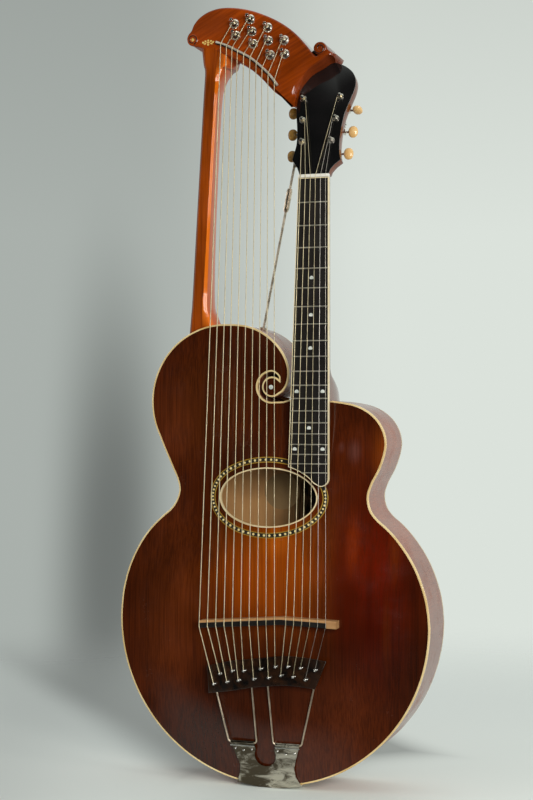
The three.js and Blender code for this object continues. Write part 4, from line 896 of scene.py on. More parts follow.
def rounded_plate(loop, front, back, front_round, back_round):
    """A plate with its arrises rounded over. The outline runs clockwise."""
    rounding = ((1, 0), (0.45, 0.12), (0.12, 0.45), (0, 1))
    levels = [(depth * front_round, front + down * front_round) for depth, down in rounding]
    levels += [(depth * back_round, back - down * back_round) for depth, down in reversed(rounding)]
    return lofted([[(x, y, z) for x, z in (inset(loop, depth) if depth else loop)] for depth, y in levels])


def placed(part, matrix):
    """A shape moved to its place."""
    return [tuple(matrix @ Vector(p)) for p in part[0]], part[1]


neck_varnish = varnished_wood(
    "neck mahogany", (0.08, 0.014, 0.003), (0.27, 0.055, 0.008), 300, 10, polish=0.12, bump=0.1,
)
gloss_black = polished_plastic(
    "black lacquered veneer", (0.004, 0.004, 0.004), (0.009, 0.008, 0.008), 0.06, vein=8, coat=1,
)
glue_line = 0.1
shaft_fullness = 0.78


def fuller(share, power):
    """Bends a round section towards a fuller one."""
    return math.copysign(abs(share) ** power, share)


def neck_ring(z, thickness, half, steps=26):
    """One section of the neck: flat under the board and round behind."""
    front = board_back(z) + glue_line
    ring = [(neck_x + half, front, z)]
    for step in range(1, steps):
        a = math.pi * step / steps
        across, behind = fuller(math.cos(a), shaft_fullness), fuller(math.sin(a), shaft_fullness)
        ring.append((neck_x + half * across, front + thickness * behind, z))
    return ring + [(neck_x - half, front, z)]


heel_top, heel_length, heel_depth, heel_start = 617, 66, 104, 20
heel_shares = [
    (0, 0), (0.3, 0.03), (0.43, 0.18), (0.52, 0.44), (0.62, 0.68), (0.75, 0.87), (0.88, 0.96), (1, 1),
]
stations = [(893, 15.5), (nut_z, 15.5), (780, 17), (700, 18.5)]
stations += [
    (heel_top - down * heel_length, heel_start + swell * (heel_depth - heel_start))
    for down, swell in flowing(heel_shares, 36)
]
side_step = 0.3
shaft = lofted([
    neck_ring(z, thickness, board_half(min(z, nut_z)) - side_step) for z, thickness in stations
])
veneer_thickness, headstock_back = 1.2, 16
glued_arris, back_arris, veneer_arris, veneer_underside = 0.15, 1.8, 0.3, 0.05
headstock_wood = rounded_plate(headstock_edge, veneer_thickness, headstock_back, glued_arris, back_arris)
headstock_wood = placed(headstock_wood, headstock_place)
tongue_start, tongue_bass_end, tongue_treble_end, tongue_inset = 560, 466, 455, 3
tongue_half = board_half(heel_top - heel_length) - tongue_inset
tongue_left, tongue_right = neck_x - tongue_half, neck_x + tongue_half
tongue_loop = [
    (tongue_left, tongue_start), (tongue_right, tongue_start), (tongue_right, tongue_treble_end),
    (tongue_left, tongue_bass_end),
]
tongue = sloped(tongue_loop, lambda z: board_back(z) + glue_line, lambda z: front_edge)
piece(
    "neck_wood", *gathered(shaft, headstock_wood, tongue), neck_varnish, slot="amber_varnished_wood",
    stands_for=("neck",), crease=40,
)
veneer = rounded_plate(headstock_edge, 0, veneer_thickness, veneer_arris, veneer_underside)
veneer = placed(veneer, headstock_place)
piece(
    "black_veneer", *veneer, gloss_black, slot="black_veneer", stands_for=("headstock_veneer",), crease=30,
)


# Machines: three open worm gears on a plate at each side of the headstock's back. A worm on
# each button's shaft turns the toothed wheel on its post; the buttons are amber celluloid ovals.
amber = polished_plastic("amber celluloid", (0.86, 0.58, 0.25), (0.72, 0.4, 0.12), 0.14, vein=120, coat=0.6)
# The bass buttons get a darker copy of the amber: painted shade, as they sit in the headstock's shadow.
shaded_amber = polished_plastic(
    "amber celluloid in painted shade", (0.36, 0.2, 0.04), (0.21, 0.105, 0.02), 0.2, vein=120, coat=0.3,
)
wheel_teeth, wheel_radius, wheel_half = 14, 9, 1.3
worm_radius, thread_height = 2.9, 0.8
plate_front, plate_sheet, worm_gap = 16.3, 1.2, 0.4
wheel_y = plate_front + plate_sheet + worm_gap + worm_radius + thread_height
worm_lead = 2 * math.pi * wheel_radius / wheel_teeth
worm_drop, shaft_in, button_out = 11.9, 9.5, 20.5
first_post, post_pitch = 55.4, 33.7
post_shares = {"bass": (-0.243, -0.262, -0.28), "treble": (0.262, 0.313, 0.364)}
posts = [
    (side, number + 1, share * headstock_width, first_post + number * post_pitch)
    for side, shares in post_shares.items()
    for number, share in enumerate(shares)
]


tooth_profile = ((7.8, -0.3), (9.4, -0.15), (9.8, -0.08), (9.8, 0.08), (9.4, 0.15), (7.8, 0.3))


def toothed_wheel(x, z):
    """The wheel on a post. A tooth is given by its radii and its shares of the pitch."""
    pitch = 360 / wheel_teeth
    loop = []
    for tooth in range(wheel_teeth):
        middle = -90 + (tooth + 0.5) * pitch
        for radius, share in tooth_profile:
            loop += arc(x, z, radius, middle + share * pitch, middle, 1)[:1]
    return lofted([[(px, y, pz) for px, pz in loop] for y in (wheel_y - wheel_half, wheel_y + wheel_half)])


thread_profile = ((1.5, -0.24), (3.5, -0.12), (3.7, -0.07), (3.7, 0.07), (3.5, 0.12), (1.5, 0.24))


def worm(x, y, z, turns=2, steps=24):
    """A right-handed thread wound round the button's shaft."""
    rings = []
    for step in range(steps * turns + 1):
        turn = (step / (steps * turns) - 0.5) * turns
        a = math.pi / 2 + turn * 2 * math.pi
        rings.append([
            (x + (turn + share) * worm_lead, y + radius * math.cos(a), z + radius * math.sin(a))
            for radius, share in thread_profile
        ])
    return lofted(rings)


button_wide, button_high, button_thick, button_dish = 7.2, 8.5, 3.8, 0.16
button_fullness = 0.9


def oval_button(centre, turn, rows=16, columns=32):
    """A full oval knob, flattened, hollowed a little on its faces, and turned about its shaft."""
    rings = []
    for row in range(rows + 1):
        up = math.pi * row / rows - math.pi / 2
        radial = math.cos(up) ** 0.85 if 0 < row < rows else 0.02
        thickness = button_thick * math.sin(up) * (1 - button_dish * radial ** 4)
        angles = [2 * math.pi * column / columns for column in range(columns)]
        rings.append([
            centre + Matrix.Rotation(turn, 3, "X") @ Vector((
                button_wide * radial * fuller(math.cos(a), button_fullness),
                thickness,
                button_high * radial * fuller(math.sin(a), button_fullness),
            ))
            for a in angles
        ])
    return lofted(rings)


post_end = wheel_y + 2.6
post_profile = [
    (0, -9), (1.9, -9), (2.4, -8.85), (2.9, -8.3), (3, -7.9), (2.5, -7), (2.15, -5.6), (2.15, -3.9),
    (2.6, -2.6), (3, -1.9), (3.1, -1.45), (4.2, -1.4), (4.75, -1.15), (4.9, -0.7), (4.9, -0.3),
    (3, -0.3), (3, post_end - 0.2), (2.8, post_end), (0, post_end),
]
knob_turn, last_knob_turn = 12, 70
for side, number, x, z in posts:
    out = -1 if side == "bass" else 1
    post_body, button_body = f"string_post_{side}_{number}", f"tuner_button_{side}_{number}"
    post = placed(gathered(turned(post_profile, 28, at(x, 0, z)), toothed_wheel(x, z)), headstock_place)
    piece(
        f"machine_post_{side}_{number}", *post, nickel, body=post_body, slot="nickel_plate",
        stands_for=(post_body,), crease=30,
    )
    height = z - worm_drop
    inner, button_x = x - out * shaft_in, x + out * button_out
    shaft_profile = [
        (0, inner), (1.4, inner), (1.7, inner + out * 0.3), (1.7, button_x - out * 6.9),
        (2.6, button_x - out * 6.7), (2.6, button_x - out * 5.6), (1.6, button_x - out * 5), (0, button_x),
    ]
    across = at(0, wheel_y, height) @ Matrix.Rotation(-math.pi / 2, 4, "Z")
    steel = placed(gathered(turned(shaft_profile, 20, across), worm(x, wheel_y, height)), headstock_place)
    piece(
        f"button_shaft_{side}_{number}", *steel, nickel, body=button_body, slot="nickel_plate", crease=30,
    )
    turn = math.radians(last_knob_turn if (side, number) == ("treble", 3) else knob_turn)
    knob = placed(oval_button(Vector((button_x, wheel_y, height)), turn), headstock_place)
    piece(
        f"amber_button_{side}_{number}", *knob, shaded_amber if side == "bass" else amber, body=button_body,
        slot="amber_celluloid", stands_for=(button_body,), crease=60,
    )


def refinish(made, finish, crease=None):
    """Gives one of the solids its finish, and smooths it where it is round."""
    made.data.materials.clear()
    made.data.materials.append(finish)
    if crease:
        smooth_up(made.data, crease)


screw_profile = [(0, 18.5), (1.1, 18.4), (1.7, 17.9), (1.8, 17.3), (0, 17.3)]
screw_offset = 6.2
for side in ("bass", "treble"):
    refinish(nodes_of_frame[f"tuner_plate_{side}"], nickel)
    screws = [
        turned(screw_profile, 16, at(x + aside, 0, z + screw_offset))
        for post_side, _, x, z in posts if post_side == side
        for aside in (-screw_offset, screw_offset)
    ]
    piece(f"plate_screws_{side}", *placed(gathered(*screws), headstock_place), nickel, slot="nickel_plate")


# Column: a tall mahogany post with chamfered corners, flared at its foot where it is glued
# to the rim, and swelling into a capital under the harp head.
column_length, column_width, column_depth = 446, 22, 36
column_foot_x, column_foot_z, column_lean, column_front = -119.5, 625, 22, -42
column_shares = [
    (0, -0.6, 1.9, 0, 1.15), (0.07, -0.56, 1.35, 0, 1.1), (0.115, -0.53, 0.95, 0, 1.05),
    (0.17, -0.5, 0.68, 0, 1), (0.42, -0.5, 0.52, 0.02, 0.97), (0.82, -0.5, 0.5, 0.08, 0.97),
    (0.875, -0.5, 0.62, 0.1, 1.05), (0.92, -0.52, 0.92, 0.12, 1.3), (0.945, -0.66, 1.22, 0.13, 1.55),
    (1, -0.85, 1.3, 0.14, 1.62),
]
column_varnish = varnished_wood(
    "column mahogany", (0.1, 0.014, 0.001), (0.42, 0.075, 0.003), 350, 9, polish=0.1, bump=0.1, contrast=1.3,
)

# The chamfer towards the strings is painted bright orange, painted light, and the flank beside it lighter and
# pinker, a painted reflection.
column_tree, column_shader = shader_of(column_varnish)
column_normal = node(column_tree, "NewGeometry").outputs["Normal"]
for towards, low, tint in (
    ((0.98, -0.17, 0), 0.8, (0.6, 0.13, 0.035)), ((0.66, -0.75, 0), 0.88, (0.95, 0.21, 0.008)),
):
    facing = node(column_tree, "VectorMath", column_normal, towards, operation="DOT_PRODUCT")
    painted_light_share = ramp(column_tree, facing, low, low + 0.08, 0, 0.85)
    colour_before = column_shader["Base Color"].links[0].from_socket
    feed(column_shader["Base Color"], mixed(column_tree, painted_light_share, colour_before, tint))


column_chamfer, column_easing = 0.2, 0.12


def column_ring(height, left, right, front, back):
    """One section of the column, its corners cut off. Sizes are shares of its width and depth."""
    z = column_foot_z + height * column_length
    middle = column_foot_x + height * column_lean
    l, r = middle + left * column_width, middle + right * column_width
    f, b = column_front + front * column_depth, column_front + back * column_depth
    c, half = column_width * column_chamfer, column_width / 2
    corners = [
        (l, f + c), (l + c, f), (middle + half - c, f), ((middle + half + r) / 2, f + c), (r, (f + b) / 2),
        (r, b - c), (r - c, b), (l + c, b), (l, b - c),
    ]
    ring = []
    for i, (x, y) in enumerate(corners):
        for ox, oy in (corners[i - 1], corners[(i + 1) % len(corners)]):
            ring.append((x + (ox - x) * column_easing, y + (oy - y) * column_easing, z))
    return ring


column = lofted([column_ring(*row) for row in flowing(column_shares, 90)])
piece(
    "column_post", *column, column_varnish, slot="amber_varnished_wood", stands_for=("harp_column",),
    crease=22,
)


# Harp head: an arched block of the same mahogany, sawn and carved with a curl at each end.
# Its treble flank is hollowed down to the headstock, which is let into it.
head_left, head_bottom, head_width, head_height = -138.5, 965.5, 214.5, 161
head_front, head_depth = -37, 54


def on_head(x, z):
    """A point given as shares of the head's width and height."""
    return head_left + x * head_width, head_bottom + z * head_height


arch_shares = [
    (0.217, 0.609), (0.152, 0.624), (0.091, 0.655), (0.054, 0.669), (0.021, 0.693), (0.002, 0.73),
    (0.009, 0.773), (0.033, 0.811), (0.049, 0.86), (0.086, 0.919), (0.142, 0.966), (0.212, 0.994),
    (0.282, 1), (0.366, 0.988), (0.455, 0.96), (0.538, 0.919), (0.627, 0.863), (0.706, 0.798),
    (0.772, 0.727), (0.828, 0.649), (0.869, 0.584), (0.897, 0.534), (0.921, 0.503), (0.937, 0.512),
    (0.916, 0.531), (0.907, 0.568), (0.923, 0.609), (0.956, 0.627), (0.986, 0.606), (1, 0.562),
]
flank_shares = [
    (0.998, 0.519), (0.977, 0.472), (0.93, 0.422), (0.865, 0.388), (0.795, 0.32), (0.753, 0.258),
    (0.734, 0.196), (0.741, 0.121),
]
under_shares = [
    (0.767, 0.053), (0.73, 0.096), (0.688, 0.149), (0.636, 0.202), (0.599, 0.252), (0.543, 0.332),
    (0.469, 0.419), (0.366, 0.512), (0.291, 0.568),
]
head_points = [on_head(*p) for p in arch_shares + flank_shares + under_shares]
per_span = 5
head_edge = flowing(head_points, len(head_points) * per_span, closed=True)
flank_first = len(arch_shares) * per_span
flank_last = (len(arch_shares) + len(flank_shares)) * per_span


def head_ring(depth, spread, round_in):
    """One section of the head, inset by its rounding, with the treble flank spread out."""
    ring = []
    for index, (x, z) in enumerate(inset(head_edge, round_in) if round_in else head_edge):
        past, left = index - flank_first + per_span, flank_last + per_span - index
        ease = max(min(past / per_span, left / per_span, 1), 0)
        ring.append((x + spread * ease, head_front + depth, z))
    return ring


head_round, flank_swell = 2.2, 12
head_rings = []
for degrees in range(0, 91, 6):
    a = math.radians(degrees)
    depth = (1 - math.cos(a)) * flank_swell
    round_in = max(0, head_round - depth) ** 2 / head_round
    head_rings.append(head_ring(depth, math.sin(a) * flank_swell, round_in))
for depth, round_in in ((30, 0), (head_depth - 2.5, 0), (head_depth - 1, 0.4), (head_depth, head_round)):
    head_rings.append(head_ring(depth, flank_swell, round_in))


def carved_away(made, points, faces):
    """Cuts a piece to the shape of another, as a joint is cut in wood."""
    cutter = new_object("cutter", points, faces)
    cut = made.modifiers.new("cut", "BOOLEAN")
    cut.operation = "DIFFERENCE"
    cut.solver = "MANIFOLD"
    cut.object = cutter
    bpy.context.view_layer.update()
    evaluated = made.evaluated_get(bpy.context.evaluated_depsgraph_get())
    mesh = bpy.data.meshes.new_from_object(evaluated)
    made.modifiers.clear()
    made.data = mesh
    bpy.data.objects.remove(cutter)


head_varnish = varnished_wood(
    "harp head mahogany", (0.1, 0.013, 0.001), (0.47, 0.072, 0.003), 240, 16, polish=0.09, bump=0.1,
    # Painted shade darkens the head's top left, and painted light brightens its lower right to orange-red.
    stain_and_light_spots=[(-100, 1105, 60, 40, 0.5, (0.08, 0.018, 0.006)), (48, 1010, 45, 50, 0.6, (0.4, 0.06, 0.003))],
    contrast=1.2, lean=-62, depth=0.6,
)

# The underside, towards the strings, has little polish left on it.
head_tree, head_shader = shader_of(head_varnish)
head_normal = node(head_tree, "NewGeometry").outputs["Normal"]
upward = node(head_tree, "SeparateXYZ", head_normal).outputs["Z"]
head_polish = head_shader["Roughness"].links[0].from_socket
dress(
    head_shader, Roughness=either(head_tree, head_polish, ramp(head_tree, upward, -0.2, -0.6, 0, 0.65)),
    Coat_Weight=ramp(head_tree, upward, -0.6, -0.2, 0, 0.5),
)
harp_head = piece(
    "harp_head_wood", *lofted(head_rings), head_varnish, slot="amber_varnished_wood",
    stands_for=("harp_head",), crease=32,
)

# The seat of the headstock is a close fit round it, and wider behind its back.
seat_gap, recess_gap, seat_front, seat_back, seat_arris = 0.3, 4.5, -60, 60, 0.01
for gap, front in ((seat_gap, seat_front), (recess_gap, headstock_back)):
    seat = rounded_plate(inset(headstock_edge, -gap), front, seat_back, seat_arris, seat_arris)
    carved_away(harp_head, *placed(seat, headstock_place))
finish_mesh(harp_head.data, 32)


def tube(path, radius, sides=16):
    """A round bar or wire along a path, with its corners eased."""
    path = [Vector(p) for p in path]
    eased = [path[0]]
    for before, here, after in zip(path, path[1:], path[2:]):
        ease = min((before - here).length, (after - here).length, radius * 2.4) * 0.5
        start, stop = here + (before - here).normalized() * ease, here + (after - here).normalized() * ease
        for t in (0, 0.25, 0.5, 0.75, 1):
            eased.append(start.lerp(here, t).lerp(here.lerp(stop, t), t))
    eased.append(path[-1])
    tangents = [(b - a).normalized() for a, b in zip(eased[:1] + eased, eased[1:] + eased[-1:])]
    across = tangents[0].orthogonal().normalized()
    last = tangents[0]
    rings = []
    for centre, tangent in zip(eased, tangents):
        bend = last.angle(tangent)
        if bend > 1e-5:
            across = Quaternion(last.cross(tangent).normalized(), bend) @ across
        last, up = tangent, tangent.cross(across)
        angles = np.linspace(0, 2 * math.pi, sides + 1)[:-1]
        rings.append([centre + (across * math.cos(a) + up * math.sin(a)) * radius for a in angles])
    return lofted(rings)


def boss(x, z, radius, proud, name):
    """The turned-over end of a carved curl: a round boss with a sunk centre."""
    profile = [
        (0, -proud * 0.5), (radius * 0.28, -proud * 0.5), (radius * 0.36, -proud * 0.85),
        (radius * 0.5, -proud), (radius * 0.86, -proud), (radius * 0.97, -proud * 0.7),
        (radius, -proud * 0.2), (radius, 3), (0, 3),
    ]
    made = turned(profile, 40, at(x, head_front, z))
    piece(name, *made, head_varnish, slot="amber_varnished_wood", crease=40)


bass_curl, treble_curl = (-128.2, 1082), (65.8, 1056.6)
boss(*bass_curl, 8.6, 2.4, "bass_curl")
boss(*treble_curl, 9.2, 1.8, "treble_curl")
shaded_wood = varnished_wood(
    "painted groove shade", (0.012, 0.004, 0.002), (0.03, 0.009, 0.003), 300, 20, polish=0.5,
)


groove_half = 0.85


def groove(x, z, start, stop, radius_from, radius_to, proud, name, steps=48):
    """The groove of a carved curl, winding in towards its centre, as a thin dark tube: painted shade."""
    path = []
    for step in range(steps + 1):
        share = step / steps
        a = math.radians(start + (stop - start) * share)
        radius = radius_from + (radius_to - radius_from) * share
        path.append((x + radius * math.cos(a), head_front - proud, z + radius * math.sin(a)))
    piece(name, *tube(path, groove_half, 8), shaded_wood, slot="dark_varnished_wood")


groove(*bass_curl, -70, 290, 6.9, 4.6, 2.2, "bass_curl_groove")
groove(*treble_curl, 200, 520, 8.2, 3.4, 1.5, "treble_curl_groove")
# A dark disc behind the notch of the treble curl: painted shade where the notch lies in shadow.
hollow_profile, hollow_x, hollow_z = [(0, 7), (7.5, 7), (7.5, 40), (0, 40)], 56.8, 1048.5
hollow = turned(hollow_profile, 32, at(hollow_x, head_front, hollow_z))
piece("curl_notch_shade", *hollow, shaded_wood, slot="dark_varnished_wood")
golden_pearl = polished_plastic(
    "golden pearl", (0.82, 0.6, 0.18), (0.62, 0.38, 0.08), 0.15, vein=300, coat=0.7,
)
curl_dot = [(0, -1.8), (2.0, -1.75), (2.4, -1.4), (2.4, 1), (0, 1)]
curl_middle = at(bass_curl[0], head_front, bass_curl[1])
piece("curl_pearl", *turned(curl_dot, 24, curl_middle), golden_pearl, slot="ivoroid")

# A small generic inlay of pearl leaves between the bass curl and the end of the nut.
leaf_profile = [(0, -0.25), (0.8, -0.22), (1, -0.1), (1, 0.6), (0, 0.6)]
inlay_x, inlay_z = -104.5, 1076.5
leaves = []
for aside, up, wide, high, lean in (
    (-7.6, 0.6, 1.9, 1.5, 20), (-5, -1.5, 2, 1.2, -25), (-4.2, 2.2, 1.7, 1.3, 30), (0, 3.2, 1.5, 1.5, 0),
    (0, -2.8, 1.6, 1.5, 0), (5, -1.5, 2, 1.2, 25), (4.2, 2.2, 1.7, 1.3, -30), (7.6, 0.6, 1.9, 1.5, -20),
    (0, 0.2, 2.6, 1.2, 0),
):
    spot = at(inlay_x + aside, head_front, inlay_z + up) @ Matrix.Rotation(math.radians(lean), 4, "Y")
    leaves.append(turned(leaf_profile, 18, spot @ Matrix.Diagonal((wide, 1, high, 1))))
piece("pearl_leaves", *gathered(*leaves), golden_pearl, slot="ivoroid")


# Harp nut: a narrow bar, bent to the arch of the head, over which the sub-bass strings break.
# A black strip along its lower side is painted shadow under the bar.
harp_nut_line = [on_head(*p) for p in (
    (0.221, 0.686), (0.296, 0.649), (0.375, 0.593), (0.464, 0.525), (0.538, 0.444), (0.604, 0.357),
    (0.66, 0.258),
)]
nut_path = flowing(harp_nut_line, 60)
nut_section = [
    (1.5, -37.3), (1.5, -41.2), (1.1, -41.9), (0.5, -42.25), (-0.5, -42.25), (-1.1, -41.9), (-1.5, -41.2),
    (-1.5, -37.3),
]
shadow_strip_section = [(-1.55, -37.2), (-1.55, -39.6), (-3, -39.2), (-3, -37.2)]


def along_nut(section):
    """A bar along the arch of the nut. The section is (towards the head, Y) pairs."""
    rings = []
    for before, (x, z), after in zip(nut_path[:1] + nut_path, nut_path, nut_path[1:] + nut_path[-1:]):
        along = Vector((after[0] - before[0], after[1] - before[1])).normalized()
        rings.append([(x - along.y * side, y, z + along.x * side) for side, y in section])
    return lofted(rings)


grey_bone = polished_plastic("greyed bone", (0.56, 0.52, 0.42), (0.3, 0.27, 0.2), 0.3, vein=140)
piece("harp_nut_bar", *along_nut(nut_section), grey_bone, slot="bone", stands_for=("harp_nut",))
piece("harp_nut_shadow_strip", *along_nut(shadow_strip_section), ebony, slot="ebony")


# Harp pins: ten tapered steel pins with square heads, as on a zither, each standing in a domed
# nickel washer on the face of the head, leaning back towards the player's hand.
pin_shares = [
    (0.347, 0.842), (0.357, 0.736), (0.459, 0.873), (0.473, 0.761), (0.483, 0.649), (0.585, 0.786),
    (0.59, 0.668), (0.604, 0.537), (0.702, 0.661), (0.706, 0.537),
]
pin_lean = math.radians(12)
pin_profile = [
    (0, -16), (1.5, -16), (2.0, -15.6), (2.15, -14.5), (2.15, -11.6), (2.5, -10.8), (2.9, -10.2), (2.5, -9.4),
    (2.45, -5.6), (2.9, -5.0), (3.35, -4.6), (3.4, -3), (3.4, 14), (0, 14),
]
washer_profile = [
    (4.1, 0.2), (4.1, -2.6), (4.5, -3.0), (5.3, -3.0), (6.1, -2.3), (7.0, -1.2), (7.4, -0.6), (7.4, 0.2),
    (4.1, 0.2),
]
pin_stands, washers = [], []
for number, shares in enumerate(pin_shares, 1):
    x, z = on_head(*shares)
    washers.append(turned(washer_profile, 32, at(x, head_front, z)))
    stand = at(x, head_front, z) @ Matrix.Rotation(-pin_lean, 4, "X")
    pin_stands.append(stand)
    piece(
        f"zither_pin_{number}", *turned(pin_profile, 28, stand, square=(1, 2, 3, 4)), nickel,
        body=f"harp_pin_{number}", slot="nickel_plate", stands_for=(f"harp_pin_{number}",), crease=28,
    )
piece("pin_washers", *gathered(*washers), nickel, slot="nickel_plate", crease=28)


# Bridge: a light wooden base, planed to a shallow gable, standing on the top with an ebony
# strip along its lower side. The bare block at the treble end is the base itself.
bridge_width, bridge_x, bridge_thick, saddle_thick, strip_thick = 202, 5, 10.5, 5, 7.2
saddle_front = -85.2
bridge_shares = [(0, -0.26), (0.597, 0.64), (0.824, 0.5), (1, 0.38)]


def bridge_line(drop):
    """The gable of the bridge seen from the front, lowered by a drop."""
    left, middle = bridge_x - bridge_width / 2, bridge_z - bridge_thick / 2
    return [(left + x * bridge_width, middle + rise * bridge_thick - drop) for x, rise in bridge_shares]


def height_on(line, x):
    """The height of a line of points at one place along the bridge."""
    return float(np.interp(x, [p[0] for p in line], [p[1] for p in line]))


light_wood = varnished_wood(
    "bridge boxwood", (0.42, 0.2, 0.075), (0.66, 0.38, 0.16), 25, 420, polish=0.35, bump=0.2, coat=0.15,
)
bridge_low, saddle_line = bridge_line(bridge_thick / 2), bridge_line((bridge_thick - saddle_thick) / 2)
bridge_left, block_start = bridge_x - bridge_width / 2, 92
bridge_rings, saddle_rings = [], []
for x in np.linspace(bridge_left, bridge_left + bridge_width, 60):
    low = height_on(bridge_low, x)
    high, ridge, front = low + bridge_thick, low + strip_thick, saddle_front + 0.3
    foot = float(top_front([(x, (high + low) / 2)])[0]) + 1
    low_front = front if x > block_start else saddle_front + 4.5
    bridge_rings.append([
        (x, foot, low), (x, foot, high), (x, saddle_front + 2.2, high), (x, saddle_front + 0.5, high - 1.6),
        (x, front, ridge + 0.2), (x, low_front, ridge + 0.1), (x, low_front, low + 0.3),
        (x, low_front + 0.4, low),
    ])
piece(
    "bridge_wood", *lofted(bridge_rings), light_wood, slot="light_wood", stands_for=("bridge_base",),
    crease=25,
)
for x in np.linspace(bridge_left, block_start - 0.5, 50):
    low = height_on(bridge_low, x)
    high, f = low + strip_thick - 0.05, saddle_front
    saddle_rings.append([
        (x, f + 4.4, low), (x, f + 4.4, high), (x, f + 0.35, high), (x, f, high - 0.5), (x, f, low + 1.2),
        (x, f + 0.5, low + 0.2), (x, f + 0.9, low),
    ])
piece("ebony_saddle", *lofted(saddle_rings), ebony, slot="ebony", stands_for=("bridge_saddle",), crease=25)


# Tailpiece: a nickel bracket folded under the body, two hinged bows of nickel wire, and a
# curved crosspiece of dark tortoise celluloid with sixteen hitch pins for the strings' ends.
hinge_x, hinge_y, hinge_z = -3.5, -62.37, 64
tail_bend = 140
wire_slope, upper_slope = 13 / (tail_bend - hinge_z), 0.04
tail_half, tail_middle, tail_height = 88.5, 169, 42


def tail_y(z):
    """How far forward the tailpiece's wires lie at a height, up from the hinges."""
    return hinge_y - min(z - hinge_z, tail_bend - hinge_z) * wire_slope - max(z - tail_bend, 0) * upper_slope


def on_tail(x, z):
    """A point given as shares of the crosspiece's half width and height."""
    return x * tail_half, tail_middle + z * tail_height


wire_radius = 1.2
leg_tops = [on_tail(x, z) for x, z in ((-0.873, -0.3), (-0.232, -0.2), (0.036, -0.12), (0.87, 0))]
outer_leg, inner_leg = 51 + 3 * wire_radius, 16 - 3 * wire_radius
wire_bend = 2 * wire_radius


def tail_bow(side, outer_top, inner_top):
    """One bow of wire: down the outer leg, through its knuckle, and up the inner leg."""
    turns = [
        (outer_leg, wire_bend), (outer_leg - wire_bend, 0), (inner_leg + wire_bend, 0),
        (inner_leg, wire_bend),
    ]
    corners = [outer_top, *[(hinge_x + side * out, hinge_z + up) for out, up in turns], inner_top]
    return tube([(x, tail_y(z), z) for x, z in corners], wire_radius)


warm_nickel = metal("yellowed nickel wire", (0.95, 0.8, 0.6), 0.3, dark=0.6, spots=60)
bows = tail_bow(-1, leg_tops[0], leg_tops[1]), tail_bow(1, leg_tops[3], leg_tops[2])
cross_bar = tube([(x, tail_y(z), z) for x, z in leg_tops], wire_radius)
piece(
    "tailpiece_wires", *gathered(*bows, cross_bar), warm_nickel, body="tailpiece", slot="nickel_plate",
    stands_for=("tailpiece_frame",), crease=40,
)

tortoise = polished_plastic(
    "dark tortoise celluloid", (0.002, 0.0015, 0.001), (0.032, 0.011, 0.003), 0.22, vein=70, coat=0.1,
)
cross_shares = [
    (-0.96, 0.095), (-0.746, 0.214), (-0.395, 0.357), (-0.056, 0.452), (0.294, 0.548), (0.633, 0.548),
    (1.04, 0.452), (0.847, -0.5), (0.633, -0.452), (0.373, -0.429), (0.124, -0.476), (-0.226, -0.571),
    (-0.565, -0.714), (-0.938, -0.833),
]
cross_corners = [on_tail(*p) for p in cross_shares]
cross_edge = flowing(cross_corners[:7], 36) + flowing(cross_corners[7:], 36)
cross_thickness, wire_cover = 3.5, 0.6


def cross_front(z):
    """How far forward the crosspiece's face lies, on top of the wires."""
    return tail_y(z) - wire_radius - wire_cover - cross_thickness


flat_points, cross_faces = rounded_plate(cross_edge, 0, cross_thickness, 0.9, 0.3)
cross_points = [(x, cross_front(z) + y, z) for x, y, z in flat_points]
piece(
    "celluloid_crosspiece", cross_points, cross_faces, tortoise, body="tailpiece", slot="dark_celluloid",
    stands_for=("tailpiece_crosspiece",), crease=35,
)
hitch_shares = [
    (-0.836, -0.5), (-0.734, -0.143), (-0.61, -0.405), (-0.52, -0.024), (-0.418, -0.333), (-0.328, 0),
    (-0.158, -0.262), (-0.045, 0.095), (0.09, -0.19), (0.203, 0.19), (0.294, -0.095), (0.407, 0.214),
    (0.497, -0.119), (0.621, 0.19), (0.7, -0.19), (0.859, 0.143),
]
hitches = [on_tail(*p) for p in hitch_shares]
bright_nickel = metal("bright nickel pins", (0.8, 0.79, 0.75), 0.08, dark=0.8, spots=200)
hitch_profile = [
    (0, -5), (0.9, -4.85), (1.5, -4.3), (1.7, -3.7), (1.5, -3.1), (1.15, -2.7), (1.1, -0.6), (1.9, -0.3),
    (2.0, 0.4), (0, 0.4),
]
ball_profile = [(0, -1.3), (0.9, -1), (1.3, 0), (0.9, 1), (0, 1.3)]
eye_radius, eye_wire, eye_lift = 1.75, 0.38, 2.1
ball_aside, ball_lift, ball_up = 2.9, 1.4, 0.9
hitch_pins, loops = [], []
for x, z in hitches:
    y = cross_front(z)
    hitch_pins.append(turned(hitch_profile, 20, at(x, y, z)))
    eye = arc(x, z, eye_radius, 0, 360, 18)
    loops.append(tube([(px, y - eye_lift, pz) for px, pz in eye], eye_wire, 8))
    loops.append(turned(ball_profile, 14, at(x + ball_aside, y - ball_lift, z + ball_up)))
piece("hitch_pins", *gathered(*hitch_pins), bright_nickel, body="tailpiece", slot="nickel_plate", crease=40)
piece("string_loops", *gathered(*loops), bright_nickel, body="tailpiece", slot="nickel_plate", crease=60)

